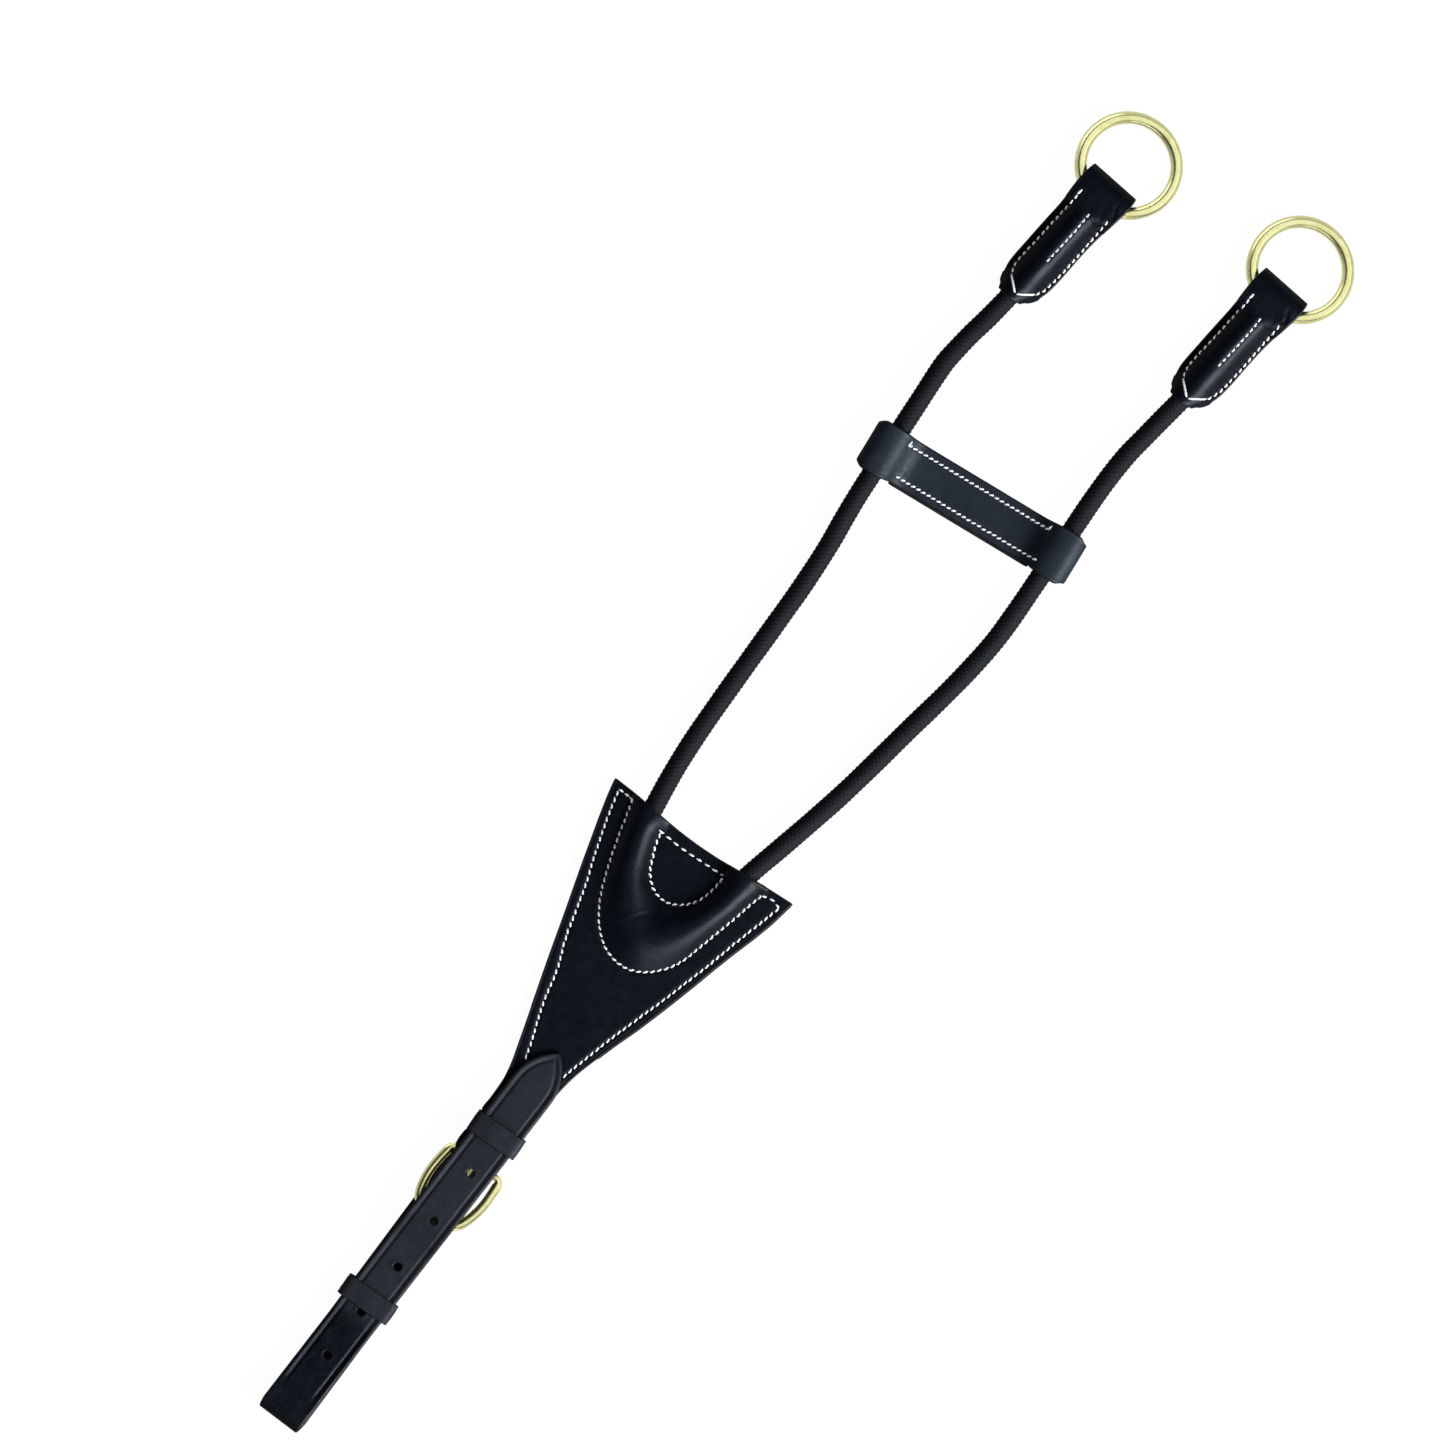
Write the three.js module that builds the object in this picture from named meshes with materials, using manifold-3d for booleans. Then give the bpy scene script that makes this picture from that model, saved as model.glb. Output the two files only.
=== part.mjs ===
// Running martingale attachment (fork): a two-layer leather yoke holding one round elastic cord in a
// moulded U channel, a stitched leather bridge that slides on the two cord lines, a folded leather
// tab with a brass ring on each cord end, and a buckled leather strap with a fixed and a running
// keeper.
// Millimetres. +Z up: the attachment lies face up on a table at z = 0. +Y runs along the strap, from
// the folded loop towards the rings. +X is to the right when looking down on the face. "Front" is
// the upper layer, "back" the one on the table.
// Drawing coordinates have 0, 0 near the strap hole over the buckle; the root group shifts them so
// that the origin is the middle of the footprint, on the table.
import * as THREE from "three";
import { mergeVertices } from "three/addons/utils/BufferGeometryUtils.js";
import Module from "manifold-3d";

// ---- driving dimensions -------------------------------------------------------------------------
const ROOT_SHIFT = [4.95, -202.46, 0]; // drawing coordinates to the middle of the footprint

const STRAP_WIDTH = 20;
const STRAP_T = 2.4; // strap and back-panel leather
const FRONT_T = 2.0; // yoke front leather
const CHAPE_T = 1.4; // skived end of the front leather where it turns round the buckle bar
const TAB_T = 2.2; // end-tab leather
const BAND_T = 1.8; // bridge leather
const KEEPER_T = 1.2;
const KEEPER_WIDTH = 9.6; // along the strap
const TABLE_GAP = 0.05; // under the keepers and the bridge

const CORD_R = 4.0; // round elastic cord, braided sleeve outside
const SLEEVE_INNER_R = 3.1;
const CORE_R = 2.9; // rubber core
const CHANNEL_R = CORD_R + 0.5; // room for the cord in yoke and tabs
const CORD_SIDES = 10;

const TAB_STEP = { x: 83.6, y: 10.5 }; // right tab and ring from the left ones

// Flex lines: both sides are cut to a V whose edge lies on the line, so that the pieces can turn.
// open is the half angle of the V in degrees.
const FLEX_GAP = 0.4; // on the line itself
const YOKE_FLEX = { y: 70, z: 2.5, open: 23 }; // tail of the yoke
const CORD_FLEX = { y: 192, z: 5.05, open: 33 }; // both cord lines, above the yoke
const LEFT_FLEX = { y: 402, z: 5.3, open: 37 }; // left cord end
const RIGHT_FLEX = { ...LEFT_FLEX, y: LEFT_FLEX.y + TAB_STEP.y }; // right cord end
const ABOVE = 1; // side of a flex line that a cut keeps: greater y
const BELOW = -1;

// ---- number and curve helpers -------------------------------------------------------------------
const { clamp, degToRad, smoothstep } = THREE.MathUtils;
const lerp = (from, to, share) => from + (to - from) * share;

// Reads [position, value] rows by straight interpolation, constant past both ends.
const interpolator = (rows) => (position) => {
  if (position <= rows[0][0]) return rows[0][1];
  for (let i = 1; i < rows.length; i++) {
    const [start, startValue] = rows[i - 1];
    const [end, endValue] = rows[i];
    if (position <= end) return lerp(startValue, endValue, (position - start) / (end - start));
  }
  return rows[rows.length - 1][1];
};

// Moulded profile of leather over a cord: 1 at the middle, 0 from the given half width outwards.
const mould = (distance, halfWidth) =>
  Math.pow(0.5 + 0.5 * Math.cos(Math.PI * Math.min(1, distance / halfWidth)), 0.6);

const curveThrough = (points, closed = false) =>
  new THREE.CatmullRomCurve3(points.map((point) => new THREE.Vector3(...point)), closed);

// Point on a curve, carried straight on past both ends, where surface normals need it.
function pointBeyond(curve, t, reach) {
  const on = clamp(t, 0, 1);
  return curve.getPoint(on).addScaledVector(curve.getTangent(on), (t - on) * reach);
}

// Half turn of a leather path, seen from the side as [across, z] points. side -1 bulges to the
// negative side and runs from bottom to top; side +1 bulges to the positive side, top to bottom.
function halfTurn({ side, steps, centre: [across, z], radius, radiusZ = radius }) {
  const points = [];
  for (let k = 0; k <= steps; k++) {
    const angle = (side * Math.PI) / 2 - (k / steps) * Math.PI;
    points.push([across + radius * Math.cos(angle), z + radiusZ * Math.sin(angle)]);
  }
  return points;
}

// ---- solid helpers ------------------------------------------------------------------------------
const manifold = await Module();
manifold.setup();

function solidOf(geometry) {
  const loose = geometry.index ? geometry.toNonIndexed() : geometry;
  const bare = new THREE.BufferGeometry().setAttribute("position", loose.getAttribute("position"));
  const merged = mergeVertices(bare, 1e-3);
  return new manifold.Manifold(
    new manifold.Mesh({
      numProp: 3,
      vertProperties: new Float32Array(merged.attributes.position.array),
      triVerts: new Uint32Array(merged.index.array),
    }),
  );
}

function geometryOf(solid) {
  const mesh = solid.getMesh();
  return new THREE.BufferGeometry()
    .setAttribute("position", new THREE.Float32BufferAttribute(mesh.vertProperties, 3))
    .setIndex(new THREE.Uint32BufferAttribute(mesh.triVerts, 1));
}

// A piece of leather: a box of acrossSteps by alongSteps by 1 segments, laid on the middle surface
// surface(s, t), with its thickness put along the surface normal. delta is the step of s and t used
// to find the normal.
function sheet(acrossSteps, alongSteps, surface, thicknessAt, delta = 1e-3) {
  const geometry = new THREE.BoxGeometry(1, 1, 1, acrossSteps, alongSteps, 1);
  const position = geometry.attributes.position;
  for (let i = 0; i < position.count; i++) {
    const s = position.getX(i) + 0.5;
    const t = position.getY(i) + 0.5;
    const across = surface(s + delta, t).sub(surface(s - delta, t));
    const along = surface(s, t + delta).sub(surface(s, t - delta));
    const normal = across.cross(along).normalize();
    const { x, y, z } = surface(s, t).addScaledVector(normal, position.getZ(i) * thicknessAt(t));
    position.setXYZ(i, x, y, z);
  }
  return geometry;
}

// Closed polygon; Kind is THREE.Shape or THREE.Path.
function polygon(Kind, points) {
  const path = new Kind(points.map((point) => new THREE.Vector2(...point)));
  path.closePath();
  return path;
}

// direction +1 runs counterclockwise, -1 clockwise
function circle(Kind, radius, sides, direction) {
  const points = [];
  for (let i = 0; i < sides; i++) {
    const angle = direction * (i / sides) * 2 * Math.PI;
    points.push([radius * Math.cos(angle), radius * Math.sin(angle)]);
  }
  return polygon(Kind, points);
}

// A round bar along an open curve, or a tube where an inner radius is given.
function tube(curve, { radius, sides, steps, inner = 0 }) {
  const shape = circle(THREE.Shape, radius, sides, 1);
  if (inner) shape.holes.push(circle(THREE.Path, inner, sides, -1));
  return new THREE.ExtrudeGeometry(shape, { steps, extrudePath: curve, bevelEnabled: false });
}

// Cuts a solid at a flex line and keeps the part ABOVE or BELOW it.
const CUTTER = { length: 70, halfHeight: 30, width: 160 };
function flexCut(solid, flex, keep) {
  const { length, halfHeight, width } = CUTTER;
  const edge = FLEX_GAP / 2;
  const flare = edge + halfHeight * Math.tan(degToRad(flex.open));
  const profile = polygon(THREE.Shape, [
    [-length * keep, -halfHeight],
    [keep * flare, -halfHeight],
    [keep * edge, 0],
    [keep * flare, halfHeight],
    [-length * keep, halfHeight],
  ]);
  const cutter = new THREE.ExtrudeGeometry(profile, { depth: width, bevelEnabled: false, steps: 1 });
  cutter.translate(0, 0, -width / 2);
  // profile x, y and depth become y, z and x
  cutter.applyMatrix4(
    new THREE.Matrix4().set(0, 0, 1, 0, 1, 0, 0, flex.y, 0, 1, 0, flex.z, 0, 0, 0, 1),
  );
  return solid.subtract(solidOf(cutter));
}

// ---- materials and groups -----------------------------------------------------------------------
const leather = (color) => new THREE.MeshStandardMaterial({ color, roughness: 0.5, metalness: 0 });
const panelLeather = leather(0x17191d);
const strapLeather = leather(0x1f2226);
const braid = new THREE.MeshStandardMaterial({ color: 0x121214, roughness: 0.85, metalness: 0 });
const rubber = new THREE.MeshStandardMaterial({ color: 0x8c7a5c, roughness: 0.7, metalness: 0 });
const brass = new THREE.MeshStandardMaterial({ color: 0xd9c979, roughness: 0.18, metalness: 1 });

const root = new THREE.Group();
root.position.set(...ROOT_SHIFT);

function add(name, geometry, material, parent = root) {
  const mesh = new THREE.Mesh(geometry, material);
  mesh.name = name;
  parent.add(mesh);
  return mesh;
}

// ---- the cord's run -----------------------------------------------------------------------------
// [x, y] of the cord's middle line: down the left side to the bottom of the U, then up the right
const LEFT_RUN = [
  [-48.3, 476], [-48.9, 468], [-49.5, 459], [-50.1, 449], [-50.9, 439], [-51.8, 430],
  [-52.5, 422.5], [-53.3, 415], [-54.5, 406.5], [-55.3, 398], [-55.75, 391], [-55.45, 385],
  [-54.03, 370], [-52.6, 355], [-51.18, 340], [-49.75, 325], [-48.2, 313], [-46.2, 300],
  [-44.2, 280], [-43.1, 260], [-42.2, 240], [-41.15, 220], [-39.75, 200], [-38.2, 186],
  [-36.2, 173.5], [-33.9, 162], [-30.6, 150.5], [-26.3, 140.5], [-20.6, 131.8], [-14.3, 126.2],
  [-8.0, 124.4],
];
const RIGHT_RUN = [
  [-1.7, 126.0], [4.3, 130.7], [8.5, 138.2], [11.0, 147.5], [12.3, 158.5], [13.8, 171],
  [16.8, 186], [19.55, 200], [23.1, 220], [25.85, 240], [28.35, 260], [31.0, 280], [32.75, 298],
  [33.4, 312], [32.95, 325], [31.87, 340], [30.79, 355], [29.71, 370], [28.63, 385], [28.2, 397],
  [28.4, 408], [29.3, 417], [30.3, 427], [31.4, 437], [32.7, 448], [33.7, 459], [34.3, 470],
  [35.3, 486.5],
];
// [y, z] of the left line: it leaves the yoke, sags, rises through the bridge and into the tab
const leftZ = interpolator([
  [172, 6.75], [179, 6.35], [187, 5.4], [205, 4.4], [298, 4.4], [308, 4.9], [318, 6.4],
  [386, 6.4], [393, 5.7], [402, 5.3], [413, 5.3], [421, 5.9], [428, 6.4],
]);
// The right line takes the same heights, later by the tab step near its end and by a little at the
// yoke.
const BRIDGE_END_Y = 386; // where the raised part at the bridge ends
const YOKE_EXIT = { belowY: 210, delay: 2 };
function rightZ(y) {
  if (y > BRIDGE_END_Y) return leftZ(Math.max(BRIDGE_END_Y, y - TAB_STEP.y));
  return leftZ(y - (y < YOKE_EXIT.belowY ? YOKE_EXIT.delay : 0));
}

const RUN_STEPS = 2400;
const runPoints = curveThrough([
  ...LEFT_RUN.map(([x, y]) => [x, y, leftZ(y)]),
  ...RIGHT_RUN.map(([x, y]) => [x, y, rightZ(y)]),
]).getPoints(RUN_STEPS);
const bottomIndex = runPoints.reduce((low, p, i) => (p.y < runPoints[low].y ? i : low), 0);
// index of the run where the left or right line crosses a given y
const leftIndex = (y) => runPoints.findIndex((p, i) => i <= bottomIndex && p.y <= y);
const rightIndex = (y) => runPoints.findIndex((p, i) => i > bottomIndex && p.y >= y);

function stretchOfRun(first, last, knots) {
  const points = [];
  for (let k = 0; k <= knots; k++) points.push(runPoints[Math.round(lerp(first, last, k / knots))]);
  return new THREE.CatmullRomCurve3(points);
}

// ---- cord ---------------------------------------------------------------------------------------
const CUT_ALLOWANCE = 1; // each piece runs this far over its flex line before it is cut

function addCordPiece(name, { first, last, knots, steps, cuts }) {
  const curve = stretchOfRun(first, last, knots);
  const addLayer = (layer, size, material) => {
    const whole = solidOf(tube(curve, { sides: CORD_SIDES, steps, ...size }));
    const cut = cuts.reduce((solid, [flex, keep]) => flexCut(solid, flex, keep), whole);
    add(`${name}_${layer}`, geometryOf(cut), material);
  };
  addLayer("sleeve", { radius: CORD_R, inner: SLEEVE_INNER_R }, braid);
  addLayer("rubber_core", { radius: CORE_R }, rubber);
}

addCordPiece("left_cord_end", {
  first: 0,
  last: leftIndex(LEFT_FLEX.y - CUT_ALLOWANCE),
  knots: 10,
  steps: 8,
  cuts: [[LEFT_FLEX, ABOVE]],
});
addCordPiece("left_cord_line", {
  first: leftIndex(LEFT_FLEX.y + CUT_ALLOWANCE),
  last: leftIndex(CORD_FLEX.y - CUT_ALLOWANCE),
  knots: 15,
  steps: 15,
  cuts: [[LEFT_FLEX, BELOW], [CORD_FLEX, ABOVE]],
});
addCordPiece("cord_loop", {
  first: leftIndex(CORD_FLEX.y + CUT_ALLOWANCE),
  last: rightIndex(CORD_FLEX.y + CUT_ALLOWANCE),
  knots: 28,
  steps: 28,
  cuts: [[CORD_FLEX, BELOW]],
});
addCordPiece("right_cord_line", {
  first: rightIndex(CORD_FLEX.y - CUT_ALLOWANCE),
  last: rightIndex(RIGHT_FLEX.y + CUT_ALLOWANCE),
  knots: 15,
  steps: 15,
  cuts: [[CORD_FLEX, ABOVE], [RIGHT_FLEX, BELOW]],
});
addCordPiece("right_cord_end", {
  first: rightIndex(RIGHT_FLEX.y - CUT_ALLOWANCE),
  last: RUN_STEPS,
  knots: 10,
  steps: 8,
  cuts: [[RIGHT_FLEX, ABOVE]],
});

// ---- yoke ---------------------------------------------------------------------------------------
// [y, x] of the left and right edges, tail included
const yokeLeft = interpolator([
  [8, -10.6], [13.2, -12.1], [25.6, -12.1], [30, -13.0], [36, -13.3], [40, -13.7], [45, -14.8],
  [50, -16.3], [55, -18.1], [60, -19.8], [70, -23.3], [80, -26.8], [90, -30.3], [110, -37.0],
  [130, -43.9], [150, -50.5], [160, -53.6], [168, -55.6],
]);
const yokeRight = interpolator([
  [8, 7.2], [30, 7.3], [40, 7.6], [50, 8.1], [56, 8.7], [60, 9.4], [65, 10.5], [70, 11.8],
  [80, 14.5], [90, 17.5], [100, 20.1], [110, 22.5], [120, 24.8], [130, 26.9], [140, 29.2],
  [150, 31.8], [160, 34.0], [172.4, 35.7],
]);
// [x, y] of the upper edge
const YOKE_TOP = [
  [-55.6, 167.6], [-44, 167.7], [-30, 167.0], [-20, 166.7], [-10, 167.0], [0, 167.8],
  [10, 169.4], [20, 170.6], [28, 171.5], [35.7, 172.3],
];
const yokeTop = interpolator(YOKE_TOP);
const YOKE_TOP_LEFT = YOKE_TOP[0][0];
const YOKE_TOP_RIGHT = YOKE_TOP[YOKE_TOP.length - 1][0];
const BACK_Z = STRAP_T / 2; // middle of the back leather
const FRONT_Z = STRAP_T + 0.2 + FRONT_T / 2; // middle of the front leather, off the cord

// Bulge of the front leather over the cord; its half width grows at the bottom of the U.
const BULGE = { height: 8.3, halfWidth: 8.8, extraAtBottom: 6.2, bottomSpread: 0.16 };
const bulgeLine = runPoints
  .slice(leftIndex(176), rightIndex(178) + 1)
  .filter((point, i) => i % 4 === 0);

function bulgeHeight(x, y) {
  let nearest = Infinity; // squared distance
  let share = 0; // of the way round the U
  bulgeLine.forEach((point, i) => {
    const distance = (point.x - x) ** 2 + (point.y - y) ** 2;
    if (distance < nearest) {
      nearest = distance;
      share = i / (bulgeLine.length - 1);
    }
  });
  const atBottom = Math.exp(-(((share - 0.5) / BULGE.bottomSpread) ** 2));
  const halfWidth = BULGE.halfWidth + BULGE.extraAtBottom * atBottom;
  return BULGE.height * mould(Math.sqrt(nearest), halfWidth);
}

const yokeSurface = (heightAt) => (s, t) => {
  const y = lerp(YOKE_FLEX.y, yokeTop(lerp(YOKE_TOP_LEFT, YOKE_TOP_RIGHT, s)), t);
  const x = lerp(yokeLeft(y), yokeRight(y), s);
  return new THREE.Vector3(x, y, heightAt(x, y));
};

function addYokeFrontPanel() {
  const surface = yokeSurface((x, y) => FRONT_Z + bulgeHeight(x, y));
  const panel = solidOf(sheet(22, 18, surface, () => FRONT_T));
  const curve = stretchOfRun(leftIndex(186), rightIndex(186), 24);
  const channel = solidOf(tube(curve, { radius: CHANNEL_R, sides: CORD_SIDES, steps: 22 }));
  const cut = flexCut(panel.subtract(channel), YOKE_FLEX, ABOVE);
  add("yoke_front_panel", geometryOf(cut), panelLeather);
}

function addYokeBackPanel() {
  const panel = solidOf(sheet(8, 12, yokeSurface(() => BACK_Z), () => STRAP_T));
  add("yoke_back_panel", geometryOf(flexCut(panel, YOKE_FLEX, ABOVE)), panelLeather);
}

addYokeFrontPanel();
addYokeBackPanel();

// ---- strap: back layer, folded loop, front billet -----------------------------------------------
const STRAP_BACK_Z = 2.8; // middle of the back layer
const STRAP_FOLD = { y: -126.6, radius: 3.6, steps: 8 };
// [y, z] of the middle of the leather, from the yoke to the fold and from the fold to the tip
const BACK_RUN = [
  [YOKE_FLEX.y, BACK_Z], [64, BACK_Z], [58, 1.45], [50, 2.2], [42, 2.75],
  ...[34, 22, 4, -20, -45, -75, -105].map((y) => [y, STRAP_BACK_Z]),
];
const BILLET_RUN = [
  [-120.5, 9.6], [-113, 8.1], [-106, 7.0], [-98, 6.62], [-78, 6.6], [-58, 6.6], [-47, 6.75],
  [-39, 7.9], [-31, 10.75], [-23, 12.6], [-14, 13.2], [-4, 13.3], [5, 13.0], [12, 11.6],
  [18, 10.3], [24, 9.75], [32, 9.45], [38, 8.85], [45, 7.95], [52, 7.3], [58, 6.6], [61.4, 6.35],
];
// [y, half width] of the billet tip
const billetHalfWidth = interpolator([
  [44, STRAP_WIDTH / 2], [47, 9.8], [50, 9.1], [53, 7.9], [56, 6.2], [58, 4.8], [59.6, 3.3],
  [60.6, 2.0], [61.4, 0.8],
]);
const HOLE_D = 3.4;
const HOLES = [[-0.1, 0.2], [0.3, -25.5], [0.5, -49.9], [0.2, -74.2], [0.4, -97.2]]; // [x, y]

// middle line of each layer; the back one runs into the yoke's tail
const yokeShare = (y) => smoothstep(y, -4, 13);
const strapBackX = (y) =>
  lerp(1.2 - 0.032 * (y + 125), (yokeLeft(y) + yokeRight(y)) / 2, yokeShare(y));
const strapFrontX = (y) => -0.9 - 0.012 * (y + 20);

// The curve holds y, z and a layer mark that goes from 0 on the back to FRONT_MARK on the front.
const FRONT_MARK = 10;
const strapCurve = curveThrough([
  ...BACK_RUN.map(([y, z]) => [y, z, 0]),
  ...halfTurn({
    side: -1,
    steps: STRAP_FOLD.steps,
    centre: [STRAP_FOLD.y, STRAP_BACK_Z + STRAP_FOLD.radius],
    radius: STRAP_FOLD.radius,
  }).map(([y, z], k) => [y, z, (k / STRAP_FOLD.steps) * FRONT_MARK]),
  ...BILLET_RUN.map(([y, z]) => [y, z, FRONT_MARK]),
]);

function strapSurface(s, t) {
  const { x: y, y: z, z: mark } = pointBeyond(strapCurve, t, 300);
  const front = clamp(mark / FRONT_MARK, 0, 1);
  const middle = lerp(strapBackX(y), strapFrontX(y), front);
  let halfWidth = STRAP_WIDTH / 2;
  if (front > 0.99) halfWidth = billetHalfWidth(y);
  if (front < 0.01) halfWidth = lerp(halfWidth, (yokeRight(y) - yokeLeft(y)) / 2, yokeShare(y));
  return new THREE.Vector3(middle + (s - 0.5) * 2 * halfWidth, y, z);
}

function addStrap() {
  let strap = solidOf(sheet(2, 64, strapSurface, () => STRAP_T));
  const samples = strapCurve.getPoints(600);
  for (const [x, y] of HOLES) {
    const billetPoint = samples.find((sample) => sample.z > 9.9 && sample.x >= y);
    const drill = new THREE.CylinderGeometry(HOLE_D / 2, HOLE_D / 2, 9, 10).rotateX(Math.PI / 2);
    strap = strap.subtract(solidOf(drill.translate(x, y, billetPoint.y)));
  }
  add("strap", geometryOf(flexCut(strap, YOKE_FLEX, BELOW)), strapLeather);
}

addStrap();

// ---- lower end of the front leather, turned round the buckle bar --------------------------------
const BUCKLE_WIRE_R = 1.6;
const BAR = { x: -0.65, y: 4.7, z: 7.65 }; // middle of the buckle bar
const TONGUE_X = -0.15; // from the middle of the bar
const CHAPE_SLOT = { size: [4.6, 11.5, 12], y: 5.6, z: 7.6 }; // room for the tongue

// y, z of the middle of the leather: lower end, turn round the bar, upper layer up to the yoke
const chapeCurve = curveThrough([
  [29, 4.95], [22, 4.95], [13, 4.95], [8.5, 4.98],
  ...halfTurn({
    side: -1,
    steps: 8,
    centre: [BAR.y, BAR.z],
    radius: BUCKLE_WIRE_R + 0.35 + CHAPE_T / 2,
  }),
  [8.5, 9.8], [13, 8.35], [18, 7.2], [24, 6.95], [31, 6.85], [38, 6.2], [45, 5.35], [52, 4.7],
  [58, 4.02], [64, 3.72], [YOKE_FLEX.y, 3.64],
]);

function chapeSurface(s, t) {
  const { x: y, y: z } = pointBeyond(chapeCurve, t, 100);
  return new THREE.Vector3(lerp(yokeLeft(y), yokeRight(y), s), y, z);
}

function addChape() {
  const thicknessAt = (t) => lerp(CHAPE_T, FRONT_T, smoothstep(t, 0.2, 0.5));
  const chape = solidOf(sheet(2, 34, chapeSurface, thicknessAt));
  const slot = new THREE.BoxGeometry(...CHAPE_SLOT.size);
  slot.translate(BAR.x + TONGUE_X, CHAPE_SLOT.y, CHAPE_SLOT.z);
  const cut = flexCut(chape.subtract(solidOf(slot)), YOKE_FLEX, BELOW);
  add("front_panel_chape", geometryOf(cut), panelLeather);
}

addChape();

// ---- keepers ------------------------------------------------------------------------------------
const KEEPER_CORNER_R = 2.2; // outside

// Drawn in x and z, counterclockwise from the lower right corner.
function roundedRectangle(Kind, halfWidth, bottom, top, radius) {
  const corners = [
    [halfWidth - radius, bottom + radius, -90],
    [halfWidth - radius, top - radius, 0],
    [-halfWidth + radius, top - radius, 90],
    [-halfWidth + radius, bottom + radius, 180],
  ];
  const points = corners.flatMap(([x, z, start]) =>
    [0, 30, 60, 90].map((turn) => {
      const angle = degToRad(start + turn);
      return [x + radius * Math.cos(angle), z + radius * Math.sin(angle)];
    }),
  );
  return polygon(Kind, points);
}

function addKeeper(name, { x, y, halfWidth, top, tilt }) {
  const shape = roundedRectangle(THREE.Shape, halfWidth, TABLE_GAP, top, KEEPER_CORNER_R);
  const opening = roundedRectangle(
    THREE.Path,
    halfWidth - KEEPER_T,
    TABLE_GAP + KEEPER_T,
    top - KEEPER_T,
    KEEPER_CORNER_R - KEEPER_T,
  );
  shape.holes.push(opening);
  const options = { depth: KEEPER_WIDTH, bevelEnabled: false, steps: 1 };
  const geometry = new THREE.ExtrudeGeometry(shape, options)
    .translate(0, 0, -KEEPER_WIDTH / 2)
    .rotateX(Math.PI / 2)
    .rotateZ(degToRad(tilt))
    .translate(x, y, 0);
  add(name, geometry, strapLeather);
}

addKeeper("fixed_keeper", { x: -1.7, y: 19.3, halfWidth: 12.15, top: 14.1, tilt: 3.4 });
addKeeper("running_keeper", { x: -0.6, y: -68.4, halfWidth: 12.3, top: 9.6, tilt: 3.2 });

// ---- buckle -------------------------------------------------------------------------------------
const FRAME_HALF = 13.45; // half width of the frame, middle of the wire
const FRAME_DROP = degToRad(2.6); // the round end lies lower than the bar
const FRAME_STEPS = 40;
const FRAME_ARM = 0.31; // extra width of the arms, as a share of the wire
// [x, y] from the middle of the bar: right end of the bar, right arm, half of the round end
const FRAME_RIGHT = [
  [11.3, 0], [12.35, -0.75], [12.8, -2.6], [13.25, -7], [FRAME_HALF, -11], [13.35, -14.5],
  [12.8, -18.3], [12, -21.6], [11, -24.2], [9.3, -26.5], [7, -27.55], [3.5, -27.1],
];
const frameOutline = curveThrough(
  [
    ...FRAME_RIGHT,
    [0, -26.85],
    ...FRAME_RIGHT.map(([x, y]) => [-x, y]).reverse(),
    [-FRAME_HALF / 2, 0], [0, 0], [FRAME_HALF / 2, 0],
  ],
  true,
);

// A torus whose rings are moved onto the outline.
function frameGeometry() {
  const torusRadius = 10;
  const geometry = new THREE.TorusGeometry(torusRadius, BUCKLE_WIRE_R, 8, FRAME_STEPS);
  const position = geometry.attributes.position;
  const outline = frameOutline.getSpacedPoints(FRAME_STEPS);
  for (let i = 0; i < position.count; i++) {
    const x = position.getX(i);
    const y = position.getY(i);
    const turn = Math.atan2(y, x) / (2 * Math.PI);
    const station = (Math.round(turn * FRAME_STEPS) + FRAME_STEPS) % FRAME_STEPS;
    const centre = outline[station];
    // the arms are wider than they are thick; the bar and the middle of the round end are round
    const arm = smoothstep(-centre.y, 0.3, 3) * smoothstep(Math.abs(centre.x), 4, 9.5);
    const out = (Math.hypot(x, y) - torusRadius) * (1 + FRAME_ARM * arm);
    const before = outline[(station + FRAME_STEPS - 1) % FRAME_STEPS];
    const after = outline[(station + 1) % FRAME_STEPS];
    const along = new THREE.Vector3().subVectors(after, before).normalize();
    // the outline runs clockwise seen from +z, so outward is to the left of its direction, and z is
    // turned over to keep the faces outward
    const newX = centre.x - along.y * out;
    const newY = centre.y + along.x * out;
    position.setXYZ(i, newX, newY, -position.getZ(i));
  }
  return geometry;
}

// An eye round the bar and a prong that lies on the round end of the frame.
const EYE = { bore: 1.85, outer: 2.9, halfWidth: 1.7, sides: 16 };
const PRONG = { radius: 1.0, sides: 8, steps: 10 };
const prongCurve = curveThrough([
  [0, 0.4, 2.25], [0, -3.2, 2.25], [0, -10, 2.05], [0, -18, 1.85], [0, -24.5, 1.72],
  [0, -27.9, 1.5],
]);

function tongueGeometry() {
  const { bore, outer, halfWidth, sides } = EYE;
  const profile = [
    [bore, -halfWidth], [outer, -halfWidth], [outer, halfWidth], [bore, halfWidth],
    [bore, -halfWidth],
  ].map((point) => new THREE.Vector2(...point));
  const eye = solidOf(new THREE.LatheGeometry(profile, sides).rotateZ(Math.PI / 2));
  const prong = solidOf(tube(prongCurve, PRONG));
  const drill = solidOf(new THREE.CylinderGeometry(bore, bore, 6, sides).rotateZ(Math.PI / 2));
  return geometryOf(eye.add(prong).subtract(drill));
}

function addBuckle() {
  const buckle = new THREE.Group();
  buckle.position.set(BAR.x, BAR.y, BAR.z);
  root.add(buckle);
  add("buckle_frame", frameGeometry(), brass, buckle).rotation.x = FRAME_DROP;
  add("buckle_tongue", tongueGeometry(), brass, buckle).position.x = TONGUE_X;
}

addBuckle();

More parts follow.
